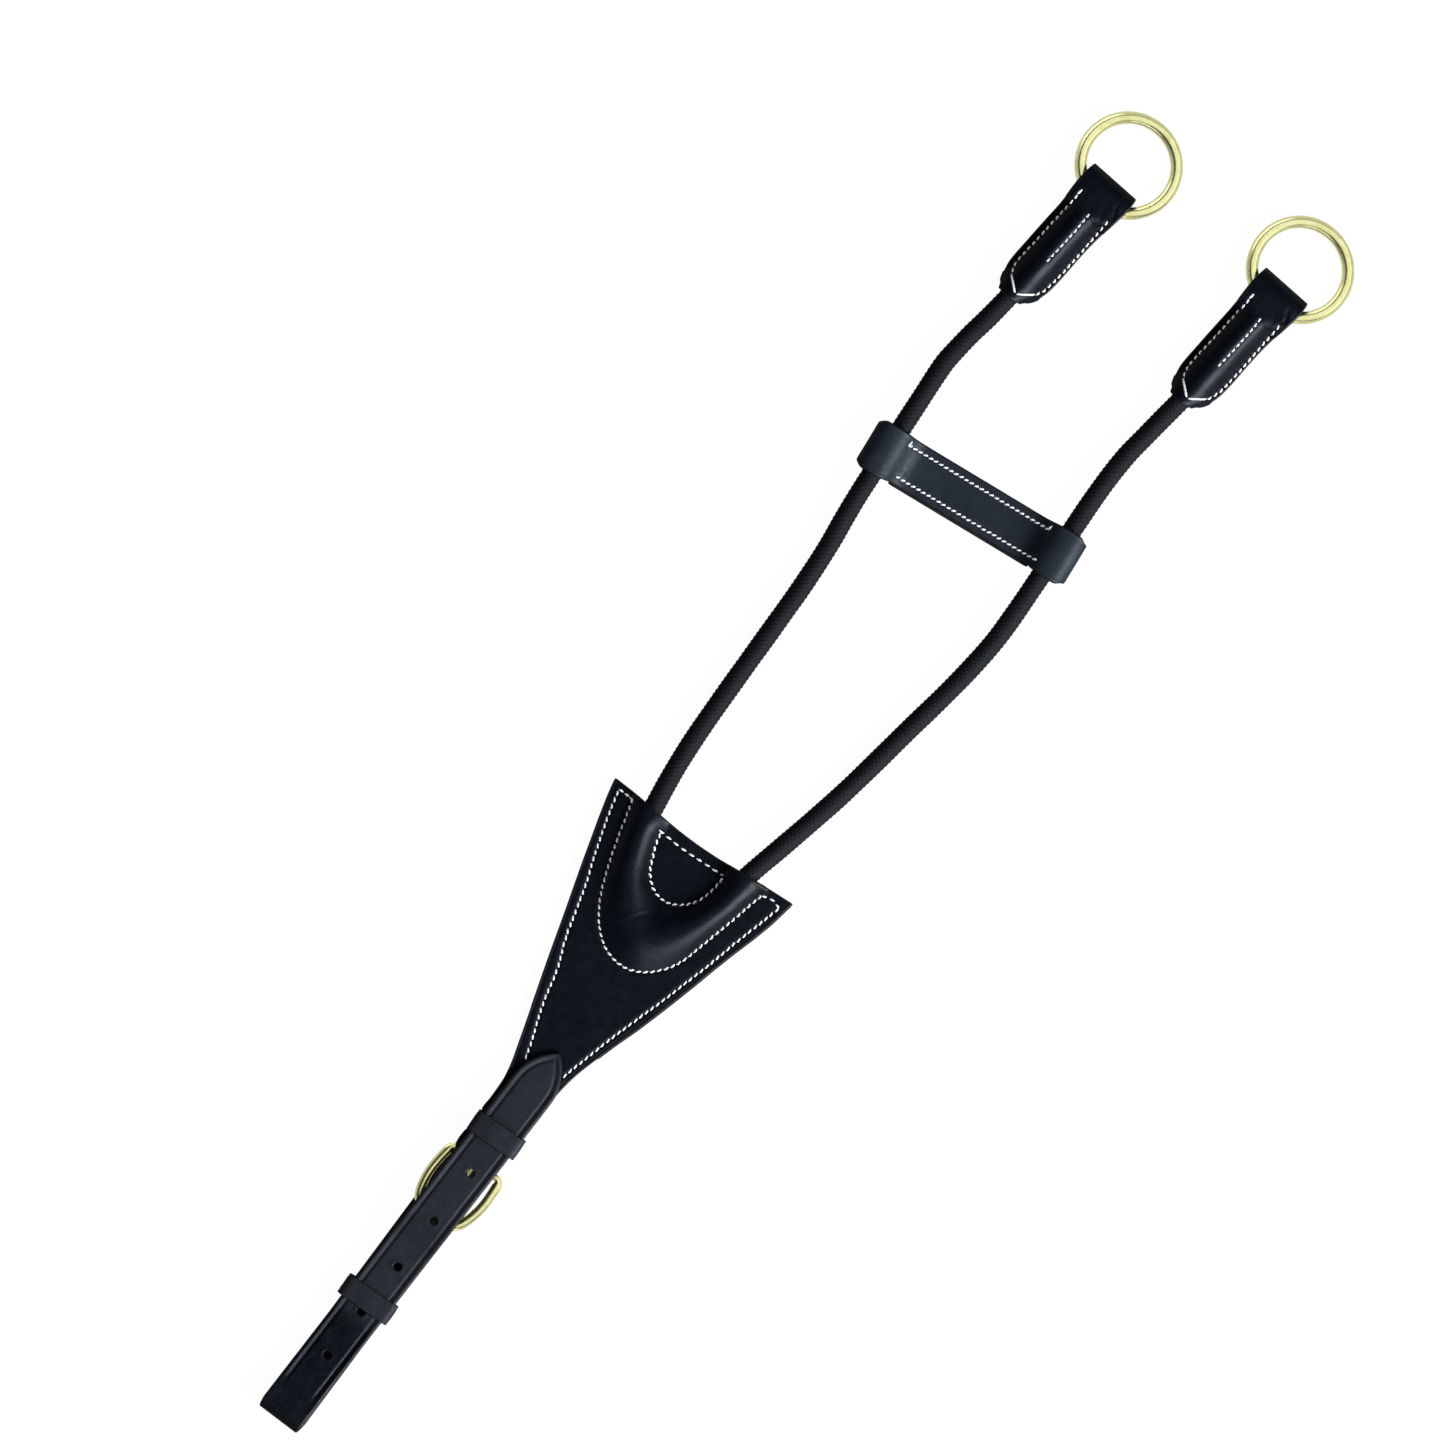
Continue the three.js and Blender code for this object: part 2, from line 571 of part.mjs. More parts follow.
// ---- bridge -------------------------------------------------------------------------------------
const BRIDGE = { x: -10.7, y: 350.8, turn: degToRad(7.4) };
const LOOP_Z = 6.4; // middle of both loops, level with the cord
const BAND_LOW = TABLE_GAP + BAND_T / 2;
const LOOP_RADIUS_Z = LOOP_Z - BAND_LOW;
const BACK_STRIP = { size: [68.2, 20, 1.9], centre: [0.15, -0.8, 1.1] };

// x, z of the middle of the leather: under and round the left cord, across the face, round and
// under the right cord
const bandCurve = curveThrough([
  [-34.6, BAND_LOW], [-38.2, BAND_LOW],
  ...halfTurn({
    side: -1, steps: 6, centre: [-44.0, LOOP_Z], radius: 5.65, radiusZ: LOOP_RADIUS_Z,
  }),
  [-40.4, 11.5], [-37.4, 10.3], [-35.3, 7.9], [-33.0, 5.3], [-30.6, 3.8], [-27, 3.45],
  [-14, 3.4], [0, 3.4], [14, 3.4],
  [27, 3.45], [30.6, 3.8], [33.0, 5.3], [35.3, 7.9], [37.6, 10.3], [40.6, 11.5],
  ...halfTurn({
    side: 1, steps: 6, centre: [44.4, LOOP_Z], radius: 6.0, radiusZ: LOOP_RADIUS_Z,
  }),
  [38.6, BAND_LOW], [34.9, BAND_LOW],
]);

// s and t run backwards, which puts the sheet's normals outward.
function bandSurface(s, t) {
  const { x, y: z } = pointBeyond(bandCurve, 1 - t, 100);
  const loopShare = smoothstep(Math.abs(x), 30, 42); // the band is wider at the loops
  const lower = lerp(-9.4, -10.9, loopShare);
  const upper = lerp(10.9, 11.4, loopShare);
  return new THREE.Vector3(x, lerp(lower, upper, 1 - s), z);
}

function addBridge() {
  const bridge = new THREE.Group();
  bridge.position.set(BRIDGE.x, BRIDGE.y, 0);
  bridge.rotation.z = BRIDGE.turn;
  root.add(bridge);
  add("bridge_band", sheet(1, 56, bandSurface, () => BAND_T), strapLeather, bridge);
  const strip = new THREE.BoxGeometry(...BACK_STRIP.size).translate(...BACK_STRIP.centre);
  add("bridge_back_strip", strip, strapLeather, bridge);
}

addBridge();

// ---- end tabs and rings (left ones; the right ones are moved by TAB_STEP) -----------------------
const TAB_END_Y = 427.5; // end of the tab away from the ring
// [y, x] of the tab's middle line
const tabMiddle = interpolator([
  [TAB_END_Y, -52.3], [430, -51.8], [435, -51.0], [440, -50.7], [450, -49.85], [458, -49.5],
  [466, -49.0], [474, -48.4], [482, -47.7], [492.5, -47.0],
]);
// [y, half width]
const tabHalfWidth = interpolator([
  [TAB_END_Y, 4.7], [429.5, 5.6], [432, 7.3], [435, 8.9], [438, 10.0], [441, 10.6],
  [446, 10.85], [466, 10.8], [474, 11.1], [478, 11.6], [482, 12.0], [486, 12.25], [489, 12.2],
  [492.5, 11.4],
]);
const TAB_TOP_Z = 12.85; // middle of the leather over cord and ring wire
const TAB_BACK_Z = TAB_T / 2;
const TAB_FOLD_Y = 487.35; // centre of the fold round the ring wire
const TAB_FOLD_R = (TAB_TOP_Z - TAB_BACK_Z) / 2;
// Rows of the sheet as [y, z]; the front rows have no z, as theirs follows the moulding.
const TAB_ROWS = [
  ...[TAB_END_Y, 431, 435, 439, 445, 452, 460, 468, 474, 478, 481, 484].map((y) => [y]),
  ...halfTurn({
    side: 1,
    steps: 8,
    centre: [TAB_FOLD_Y, TAB_BACK_Z + TAB_FOLD_R],
    radius: TAB_FOLD_R,
  }),
  ...[480, 470, 458, 446, 439, 434, 430, TAB_END_Y].map((y) => [y, TAB_BACK_Z]),
];

// Front of the tab: moulded over the cord, flattening towards the fold.
function tabFrontZ(y, fromMiddle) {
  const halfWidth = lerp(8.6, 60, smoothstep(y, 472, 481));
  return lerp(TAB_BACK_Z + 2.4, TAB_TOP_Z, mould(Math.abs(fromMiddle), halfWidth));
}

function tabSurface(s, t) {
  const on = clamp(t, 0, 1);
  const place = on * (TAB_ROWS.length - 1);
  const row = Math.min(TAB_ROWS.length - 2, Math.floor(place));
  const share = place - row;
  const [startY, startZ] = TAB_ROWS[row];
  const [endY, endZ] = TAB_ROWS[row + 1];
  // both layers end at the lower end, so past either end the sheet goes on downwards in y
  const y = lerp(startY, endY, share) - Math.abs(t - on) * 100;
  const fromMiddle = (s - 0.5) * 2 * tabHalfWidth(y);
  const frontZ = tabFrontZ(y, fromMiddle);
  const z = lerp(startZ ?? frontZ, endZ ?? frontZ, share);
  return new THREE.Vector3(tabMiddle(y) + fromMiddle, y, z);
}

const RING = { x: -46.7, y: 503.1, radius: 20.3, wire: 2.65 }; // radius to the middle of the wire
const RING_DROOP = degToRad(-6.45); // the far side of the ring rests on the table
const SWING = { x: -46.9, y: 484.9, z: 7.0 }; // line the ring swings about, inside the fold
// [radius, x from SWING] of the room in which the ring turns inside the fold
const SWING_ROOM = [
  [0, -15], [6.75, -15], [6.4, -13], [5.9, -11], [5.35, -8],
  [5.35, 8], [5.9, 11], [6.4, 13], [6.75, 15], [0, 15],
];

function ringGeometry() {
  return new THREE.TorusGeometry(RING.radius, RING.wire, 10, 40)
    .translate(RING.x - SWING.x, RING.y - SWING.y, 0)
    .rotateX(RING_DROOP)
    .translate(SWING.x, SWING.y, SWING.z);
}

function swingRoomGeometry() {
  const profile = SWING_ROOM.map((point) => new THREE.Vector2(...point));
  return new THREE.LatheGeometry(profile, 24)
    .rotateZ(-Math.PI / 2)
    .translate(SWING.x, SWING.y, SWING.z);
}

function addTabAndRing(side, step, firstOfCord, lastOfCord) {
  const placed = (geometry) => geometry.translate(step.x, step.y, 0);
  const cordCurve = stretchOfRun(firstOfCord, lastOfCord, 12);
  const cordRoom = solidOf(tube(cordCurve, { radius: CHANNEL_R, sides: CORD_SIDES, steps: 12 }));
  const leaf = sheet(8, TAB_ROWS.length - 1, tabSurface, () => TAB_T, 2e-3);
  const tab = solidOf(placed(leaf)).subtract(cordRoom).subtract(solidOf(placed(swingRoomGeometry())));
  add(`${side}_end_tab`, geometryOf(tab), panelLeather);
  add(`${side}_ring`, placed(ringGeometry()), brass);
}

const CORD_ROOM_Y = 418; // where the cord's room in the left tab begins
addTabAndRing("left", { x: 0, y: 0 }, 0, leftIndex(CORD_ROOM_Y));
addTabAndRing("right", TAB_STEP, rightIndex(CORD_ROOM_Y + TAB_STEP.y), RUN_STEPS);

export default root;
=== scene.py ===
# Running martingale attachment: the finished look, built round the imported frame.
# Shapes are worked out in millimetres in the drawing's own coordinates (0, 0 at the strap hole over the
# buckle) and shifted into the row frame when each mesh is made.
import math

import bpy
import numpy as np
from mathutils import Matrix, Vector
from mathutils.bvhtree import BVHTree


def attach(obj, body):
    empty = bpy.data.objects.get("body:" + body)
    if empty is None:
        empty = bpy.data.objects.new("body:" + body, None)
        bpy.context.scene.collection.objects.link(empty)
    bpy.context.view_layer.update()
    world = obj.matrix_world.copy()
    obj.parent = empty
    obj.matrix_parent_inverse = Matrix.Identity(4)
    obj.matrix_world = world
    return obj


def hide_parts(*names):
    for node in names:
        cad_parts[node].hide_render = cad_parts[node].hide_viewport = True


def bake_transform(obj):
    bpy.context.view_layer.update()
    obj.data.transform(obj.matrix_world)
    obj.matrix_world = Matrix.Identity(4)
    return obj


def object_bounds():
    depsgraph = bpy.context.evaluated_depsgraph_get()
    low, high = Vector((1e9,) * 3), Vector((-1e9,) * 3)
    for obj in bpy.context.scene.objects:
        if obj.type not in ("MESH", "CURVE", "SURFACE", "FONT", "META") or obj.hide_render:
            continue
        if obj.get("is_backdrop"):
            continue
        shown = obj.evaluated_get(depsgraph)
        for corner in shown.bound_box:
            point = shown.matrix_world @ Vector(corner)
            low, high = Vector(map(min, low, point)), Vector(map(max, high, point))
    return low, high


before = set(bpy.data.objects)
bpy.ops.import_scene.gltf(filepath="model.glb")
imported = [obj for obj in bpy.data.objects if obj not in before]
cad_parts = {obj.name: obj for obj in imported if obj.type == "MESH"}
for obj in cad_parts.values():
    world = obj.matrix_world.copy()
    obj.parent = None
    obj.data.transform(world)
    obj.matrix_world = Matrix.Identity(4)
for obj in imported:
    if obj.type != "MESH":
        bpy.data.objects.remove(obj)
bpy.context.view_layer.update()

SHIFT = np.array([4.95, -202.46, 0.0])
RNG = np.random.default_rng(20)


# ---- small maths ---------------------------------------------------------------------------------------
def smooth(a, b, v):
    t = np.clip((np.asarray(v, float) - a) / (b - a), 0, 1)
    return t * t * (3 - 2 * t)


def lerp(a, b, t):
    return a + (b - a) * t


def unit(v):
    return v / np.maximum(np.linalg.norm(v, axis=-1, keepdims=True), 1e-12)


def curve1(rows, sigma=1.6):
    """A smooth function through a table of (position, value)."""
    xs, ys = (np.array(a, float) for a in zip(*rows))
    g = np.arange(xs[0] - 8 * sigma, xs[-1] + 8 * sigma, 0.2)
    y = np.interp(g, xs, ys)
    lo, hi = g < xs[0], g > xs[-1]
    y[lo] = ys[0] + (g[lo] - xs[0]) * (ys[1] - ys[0]) / (xs[1] - xs[0])
    y[hi] = ys[-1] + (g[hi] - xs[-1]) * (ys[-1] - ys[-2]) / (xs[-1] - xs[-2])
    k = np.exp(-0.5 * (np.arange(-4 * sigma, 4 * sigma + 0.01, 0.2) / sigma) ** 2)
    k /= k.sum()
    pad = len(k) // 2
    full = np.concatenate([y[0] + (y[1] - y[0]) * np.arange(-pad, 0), y, y[-1] + (y[-1] - y[-2]) * np.arange(1, pad + 1)])
    y = np.convolve(full, k, "valid")[: len(g)]
    return lambda v: np.interp(v, g, y)


def spline(points, step, closed=False):
    """Points along a centripetal Catmull-Rom curve, about step apart."""
    p = np.array(points, float)
    n = len(p)
    if closed:
        p = np.vstack([p[-1], p, p[0], p[1]])
        spans = n
    else:
        p = np.vstack([2 * p[0] - p[1], p, 2 * p[-1] - p[-2]])
        spans = n - 1
    out = []
    for i in range(spans):
        p0, p1, p2, p3 = p[i : i + 4]
        t0 = 0.0
        t1 = t0 + max(np.linalg.norm(p1 - p0) ** 0.5, 1e-6)
        t2 = t1 + max(np.linalg.norm(p2 - p1) ** 0.5, 1e-6)
        t3 = t2 + max(np.linalg.norm(p3 - p2) ** 0.5, 1e-6)
        t = np.linspace(t1, t2, 40, endpoint=False)[:, None]
        a1 = (t1 - t) / (t1 - t0) * p0 + (t - t0) / (t1 - t0) * p1
        a2 = (t2 - t) / (t2 - t1) * p1 + (t - t1) / (t2 - t1) * p2
        a3 = (t3 - t) / (t3 - t2) * p2 + (t - t2) / (t3 - t2) * p3
        b1 = (t2 - t) / (t2 - t0) * a1 + (t - t0) / (t2 - t0) * a2
        b2 = (t3 - t) / (t3 - t1) * a2 + (t - t1) / (t3 - t1) * a3
        out.append((t2 - t) / (t2 - t1) * b1 + (t - t1) / (t2 - t1) * b2)
    out.append(p[spans + 1][None] if not closed else p[1][None])
    d = np.vstack(out)
    s = np.concatenate([[0], np.cumsum(np.linalg.norm(np.diff(d, axis=0), axis=1))])
    m = max(2, int(round(s[-1] / step)) + 1)
    g = np.linspace(0, s[-1], m)
    r = np.stack([np.interp(g, s, d[:, k]) for k in range(d.shape[1])], 1)
    return r[:-1] if closed else r


def wave(x, y, seed, size):
    """A smooth, repeatable wobble of about -1 to 1 whose lumps are size mm across."""
    r = np.random.default_rng(seed)
    v = np.zeros(np.broadcast(x, y).shape)
    for _ in range(7):
        a = r.uniform(0, 2 * math.pi)
        k = 2 * math.pi / (size * r.uniform(0.7, 1.8))
        v += np.cos(k * (x * math.cos(a) + y * math.sin(a)) + r.uniform(0, 6.3))
    return v / 4.0


def near(px, py, line):
    """Distance from each point to a polyline given as closely spaced points."""
    line = np.asarray(line, float)
    q = np.stack([np.ravel(px), np.ravel(py)], 1)
    best = np.full(len(q), 1e9)
    for i in range(0, len(line), 64):
        part = line[i : i + 64]
        d = ((q[:, None, :] - part[None]) ** 2).sum(2).min(1)
        best = np.minimum(best, d)
    return np.sqrt(best).reshape(np.shape(px))


def inside(px, py, poly):
    poly = np.asarray(poly, float)
    r = np.zeros(np.shape(px), bool)
    j = len(poly) - 1
    for i in range(len(poly)):
        (xi, yi), (xj, yj) = poly[i], poly[j]
        hit = ((yi > py) != (yj > py)) & (px < (xj - xi) * (py - yi) / (yj - yi + 1e-12) + xi)
        r ^= hit
        j = i
    return r


# ---- materials -----------------------------------------------------------------------------------------
def material(name):
    m = bpy.data.materials.new(name)
    m.use_nodes = True
    t = m.node_tree
    t.nodes.clear()
    out = t.nodes.new("ShaderNodeOutputMaterial")
    b = t.nodes.new("ShaderNodeBsdfPrincipled")
    t.links.new(b.outputs[0], out.inputs["Surface"])
    co = t.nodes.new("ShaderNodeTexCoord")
    mm = t.nodes.new("ShaderNodeVectorMath")
    mm.operation = "SCALE"
    mm.inputs["Scale"].default_value = 1000.0
    t.links.new(co.outputs["Object"], mm.inputs[0])
    return m, t, b, mm.outputs[0]


def noise_node(t, vec, scale, detail=3, rough=0.55, distort=0.0):
    n = t.nodes.new("ShaderNodeTexNoise")
    n.inputs["Scale"].default_value = scale
    n.inputs["Detail"].default_value = detail
    n.inputs["Roughness"].default_value = rough
    n.inputs["Distortion"].default_value = distort
    t.links.new(vec, n.inputs["Vector"])
    return n.outputs["Fac"]


def voronoi_node(t, vec, scale, feature="F1", rand=1.0):
    n = t.nodes.new("ShaderNodeTexVoronoi")
    n.feature = feature
    n.inputs["Scale"].default_value = scale
    n.inputs["Randomness"].default_value = rand
    t.links.new(vec, n.inputs["Vector"])
    return n.outputs["Distance"]


def remap(t, value, a, b, c, d):
    n = t.nodes.new("ShaderNodeMapRange")
    for i, v in zip(("From Min", "From Max", "To Min", "To Max"), (a, b, c, d)):
        n.inputs[i].default_value = v
    t.links.new(value, n.inputs["Value"])
    return n.outputs["Result"]


def maths(t, op, a, b):
    n = t.nodes.new("ShaderNodeMath")
    n.operation = op
    for i, v in enumerate((a, b)):
        if isinstance(v, (int, float)):
            n.inputs[i].default_value = v
        else:
            t.links.new(v, n.inputs[i])
    return n.outputs[0]


def colour(t, fac, stops):
    n = t.nodes.new("ShaderNodeValToRGB")
    e = n.color_ramp.elements
    while len(e) < len(stops):
        e.new(0.5)
    for s, (p, c) in zip(e, stops):
        s.position = p
        s.color = (*c, 1)
    t.links.new(fac, n.inputs["Fac"])
    return n.outputs["Color"]


def bump(t, height, distance_mm, strength, after=None):
    n = t.nodes.new("ShaderNodeBump")
    n.inputs["Distance"].default_value = distance_mm / 1000.0
    n.inputs["Strength"].default_value = strength
    t.links.new(height, n.inputs["Height"])
    if after is not None:
        t.links.new(after, n.inputs["Normal"])
    return n.outputs["Normal"]


def leather(name, dark, light, rough, grain=1.0, wear=(0.10, 0.105, 0.12), coat=0.12, low=None):
    m, t, b, mm = material(name)
    mottle = noise_node(t, mm, 0.10, 4, 0.6, 0.4)
    fine = noise_node(t, mm, 1.3, 3)
    base = colour(t, maths(t, "ADD", maths(t, "MULTIPLY", mottle, 0.75), maths(t, "MULTIPLY", fine, 0.25)), [(0.32, dark), (0.68, light)])
    lit_mask = None
    if low:
        # painted shade: the strap's colour is made darker below the running keeper and on its low parts (under about 5
        # mm up), and a little smoother there; lit_mask is 1 where the strap keeps its lighter colour
        sx = t.nodes.new("ShaderNodeSeparateXYZ")
        t.links.new(mm, sx.inputs[0])
        at = maths(t, "ADD", sx.outputs["Y"], maths(t, "MULTIPLY", noise_node(t, mm, 0.3, 3), 5.0))
        lit_mask = maths(t, "MULTIPLY", remap(t, at, -281.0, -272.0, 0.0, 1.0), remap(t, sx.outputs["Z"], 4.9, 5.9, 0.0, 1.0))
        # painted shade: the darker pair of colours used below the running keeper and under the billet and keepers
        under = colour(t, maths(t, "ADD", maths(t, "MULTIPLY", mottle, 0.75), maths(t, "MULTIPLY", fine, 0.25)), [(0.32, low[0]), (0.68, low[1])])
        pick = t.nodes.new("ShaderNodeMix")
        pick.data_type = "RGBA"
        t.links.new(lit_mask, pick.inputs["Factor"])
        t.links.new(under, pick.inputs["A"])
        t.links.new(base, pick.inputs["B"])
        base = pick.outputs["Result"]
    # worn, paler leather where an edge or a crest is rubbed
    geo = t.nodes.new("ShaderNodeNewGeometry")
    rub = remap(t, geo.outputs["Pointiness"], 0.515, 0.57, 0.0, 0.55)
    rub = maths(t, "MULTIPLY", rub, remap(t, noise_node(t, mm, 0.45, 4, 0.65), 0.35, 0.65, 0.25, 1.0))
    mix = t.nodes.new("ShaderNodeMix")
    mix.data_type = "RGBA"
    t.links.new(rub, mix.inputs["Factor"])
    t.links.new(base, mix.inputs["A"])
    mix.inputs["B"].default_value = (*wear, 1)
    t.links.new(mix.outputs["Result"], b.inputs["Base Color"])
    r = remap(t, noise_node(t, mm, 0.22, 4, 0.6), 0.3, 0.7, rough - 0.06, rough + 0.07)
    r = maths(t, "ADD", r, maths(t, "MULTIPLY", maths(t, "SUBTRACT", fine, 0.5), 0.10))
    if lit_mask is not None:
        r = maths(t, "SUBTRACT", r, maths(t, "MULTIPLY", maths(t, "SUBTRACT", 1.0, lit_mask), 0.12))
    t.links.new(r, b.inputs["Roughness"])
    b.inputs["Specular IOR Level"].default_value = 0.32
    b.inputs["Specular Tint"].default_value = (0.80, 0.90, 1.0, 1)
    b.inputs["Coat Weight"].default_value = coat
    b.inputs["Coat Roughness"].default_value = 0.22
    # grain: small cells, creases between them, pores, and slow unevenness of the hide
    warp = t.nodes.new("ShaderNodeVectorMath")
    warp.operation = "MULTIPLY_ADD"
    wn = t.nodes.new("ShaderNodeTexNoise")
    wn.inputs["Scale"].default_value = 0.9
    t.links.new(mm, wn.inputs["Vector"])
    t.links.new(wn.outputs["Color"], warp.inputs[0])
    warp.inputs[1].default_value = (0.8, 0.8, 0.8)
    t.links.new(mm, warp.inputs[2])
    cells = remap(t, voronoi_node(t, warp.outputs[0], 1.35, "DISTANCE_TO_EDGE"), 0.0, 0.16, 0.0, 1.0)
    small = voronoi_node(t, mm, 3.6)
    pores = noise_node(t, mm, 7.0, 2)
    n1 = bump(t, noise_node(t, mm, 0.16, 3, 0.5, 0.3), 0.5, 0.35 * grain)
    n2 = bump(t, cells, 0.05, 0.42 * grain, n1)
    n3 = bump(t, small, 0.04, 0.30 * grain, n2)
    n4 = bump(t, pores, 0.02, 0.35 * grain, n3)
    t.links.new(n4, b.inputs["Normal"])
    t.links.new(n2, b.inputs["Coat Normal"])
    return m


def edge_paint():
    m, t, b, mm = material("edge_paint")
    c = colour(t, noise_node(t, mm, 0.8, 4), [(0.3, (0.0030, 0.0030, 0.0034)), (0.75, (0.0120, 0.0120, 0.0130))])
    t.links.new(c, b.inputs["Base Color"])
    t.links.new(remap(t, noise_node(t, mm, 1.1, 3), 0.3, 0.7, 0.34, 0.52), b.inputs["Roughness"])
    n = bump(t, noise_node(t, mm, 1.6, 4, 0.6), 0.12, 0.5)
    t.links.new(bump(t, noise_node(t, mm, 6.0, 2), 0.03, 0.4, n), b.inputs["Normal"])
    return m


def flesh():
    m, t, b, mm = material("flesh_side")
    f = noise_node(t, mm, 3.0, 5, 0.7, 0.6)
    c = colour(t, maths(t, "ADD", maths(t, "MULTIPLY", f, 0.6), maths(t, "MULTIPLY", noise_node(t, mm, 0.2, 3), 0.4)), [(0.3, (0.005, 0.005, 0.006)), (0.72, (0.018, 0.018, 0.020))])
    t.links.new(c, b.inputs["Base Color"])
    b.inputs["Roughness"].default_value = 0.86
    b.inputs["Specular IOR Level"].default_value = 0.25
    b.inputs["Sheen Weight"].default_value = 0.05
    b.inputs["Sheen Roughness"].default_value = 0.5
    n = bump(t, f, 0.10, 0.55)
    t.links.new(bump(t, noise_node(t, mm, 9.0, 3, 0.7), 0.05, 0.5, n), b.inputs["Normal"])
    return m


def braid():
    m, t, b, mm = material("braided_sleeve")
    f = noise_node(t, mm, 4.5, 4, 0.7)
    c = colour(t, f, [(0.3, (0.0022, 0.0032, 0.0052)), (0.75, (0.0086, 0.0112, 0.0158))])
    t.links.new(c, b.inputs["Base Color"])
    t.links.new(remap(t, f, 0.3, 0.7, 0.62, 0.82), b.inputs["Roughness"])
    b.inputs["Specular IOR Level"].default_value = 0.30
    b.inputs["Sheen Weight"].default_value = 0.07
    b.inputs["Sheen Roughness"].default_value = 0.4
    b.inputs["Sheen Tint"].default_value = (0.62, 0.72, 0.9, 1)
    n = bump(t, noise_node(t, mm, 8.0, 4, 0.75, 0.5), 0.08, 0.6)
    t.links.new(n, b.inputs["Normal"])
    return m


def thread():
    m, t, b, mm = material("waxed_thread")
    c = colour(t, noise_node(t, mm, 2.2, 3), [(0.3, (0.84, 0.84, 0.85)), (0.7, (0.96, 0.96, 0.97))])
    t.links.new(c, b.inputs["Base Color"])
    b.inputs["Roughness"].default_value = 0.48
    b.inputs["Subsurface Weight"].default_value = 0.08
    b.inputs["Subsurface Radius"].default_value = (0.0006, 0.0006, 0.0006)
    t.links.new(bump(t, noise_node(t, mm, 12.0, 3, 0.7, 1.0), 0.03, 0.5), b.inputs["Normal"])
    return m


def brass():
    m, t, b, mm = material("polished_brass")
    b.inputs["Metallic"].default_value = 1.0
    haze = noise_node(t, mm, 0.25, 5, 0.65, 0.5)
    c = colour(t, haze, [(0.28, (0.76, 0.71, 0.27)), (0.50, (0.86, 0.85, 0.42)), (0.75, (0.92, 0.92, 0.52))])
    t.links.new(c, b.inputs["Base Color"])
    st = t.nodes.new("ShaderNodeMapping")
    st.inputs["Scale"].default_value = (1.0, 7.0, 7.0)
    st.inputs["Rotation"].default_value = (0.3, 0.2, 0.9)
    t.links.new(mm, st.inputs["Vector"])
    hair = noise_node(t, st.outputs[0], 2.0, 4, 0.7)
    r = maths(t, "ADD", remap(t, haze, 0.3, 0.7, 0.29, 0.21), maths(t, "MULTIPLY", maths(t, "SUBTRACT", hair, 0.5), 0.14))
    t.links.new(r, b.inputs["Roughness"])
    n = bump(t, noise_node(t, mm, 0.5, 3), 0.10, 0.25)
    t.links.new(bump(t, hair, 0.012, 0.35, n), b.inputs["Normal"])
    return m


YOKE = leather("yoke_leather", (0.0018, 0.0028, 0.0058), (0.0038, 0.0054, 0.0100), 0.39, 0.75, wear=(0.018, 0.022, 0.030), coat=0.05)
# the strap's low= colours are painted shade for its parts below the running keeper and under the billet and keepers
STRAP = leather("strap_leather", (0.0125, 0.0142, 0.0185), (0.0225, 0.0252, 0.0315), 0.50, 1.2, wear=(0.080, 0.086, 0.100), coat=0.02, low=((0.0014, 0.0022, 0.0042), (0.0034, 0.0048, 0.0080)))
BRIDGE = leather("bridge_leather", (0.0130, 0.0190, 0.0280), (0.0225, 0.0315, 0.0450), 0.43, 0.8, wear=(0.050, 0.058, 0.070), coat=0.04)
BACK = leather("lining_leather", (0.0045, 0.0050, 0.0060), (0.0105, 0.0112, 0.0130), 0.58, 1.2, wear=(0.03, 0.03, 0.034), coat=0.0)
EDGE = edge_paint()
FLESH = flesh()
BRAID = braid()
THREAD = thread()
BRASS = brass()


# ---- meshes --------------------------------------------------------------------------------------------
def make(name, verts, faces, mats, index=None, angle=None):
    me = bpy.data.meshes.new(name)
    v = (np.asarray(verts, float) + SHIFT) / 1000.0
    me.from_pydata(v.tolist(), [], [list(map(int, f)) for f in faces])
    for m in mats:
        me.materials.append(m)
    if index is not None:
        me.polygons.foreach_set("material_index", np.asarray(index, np.int32))
    me.polygons.foreach_set("use_smooth", np.ones(len(me.polygons), bool))
    me.validate()
    if angle:
        me.set_sharp_from_angle(angle=math.radians(angle))
    ob = bpy.data.objects.new(name, me)
    bpy.context.scene.collection.objects.link(ob)
    return ob


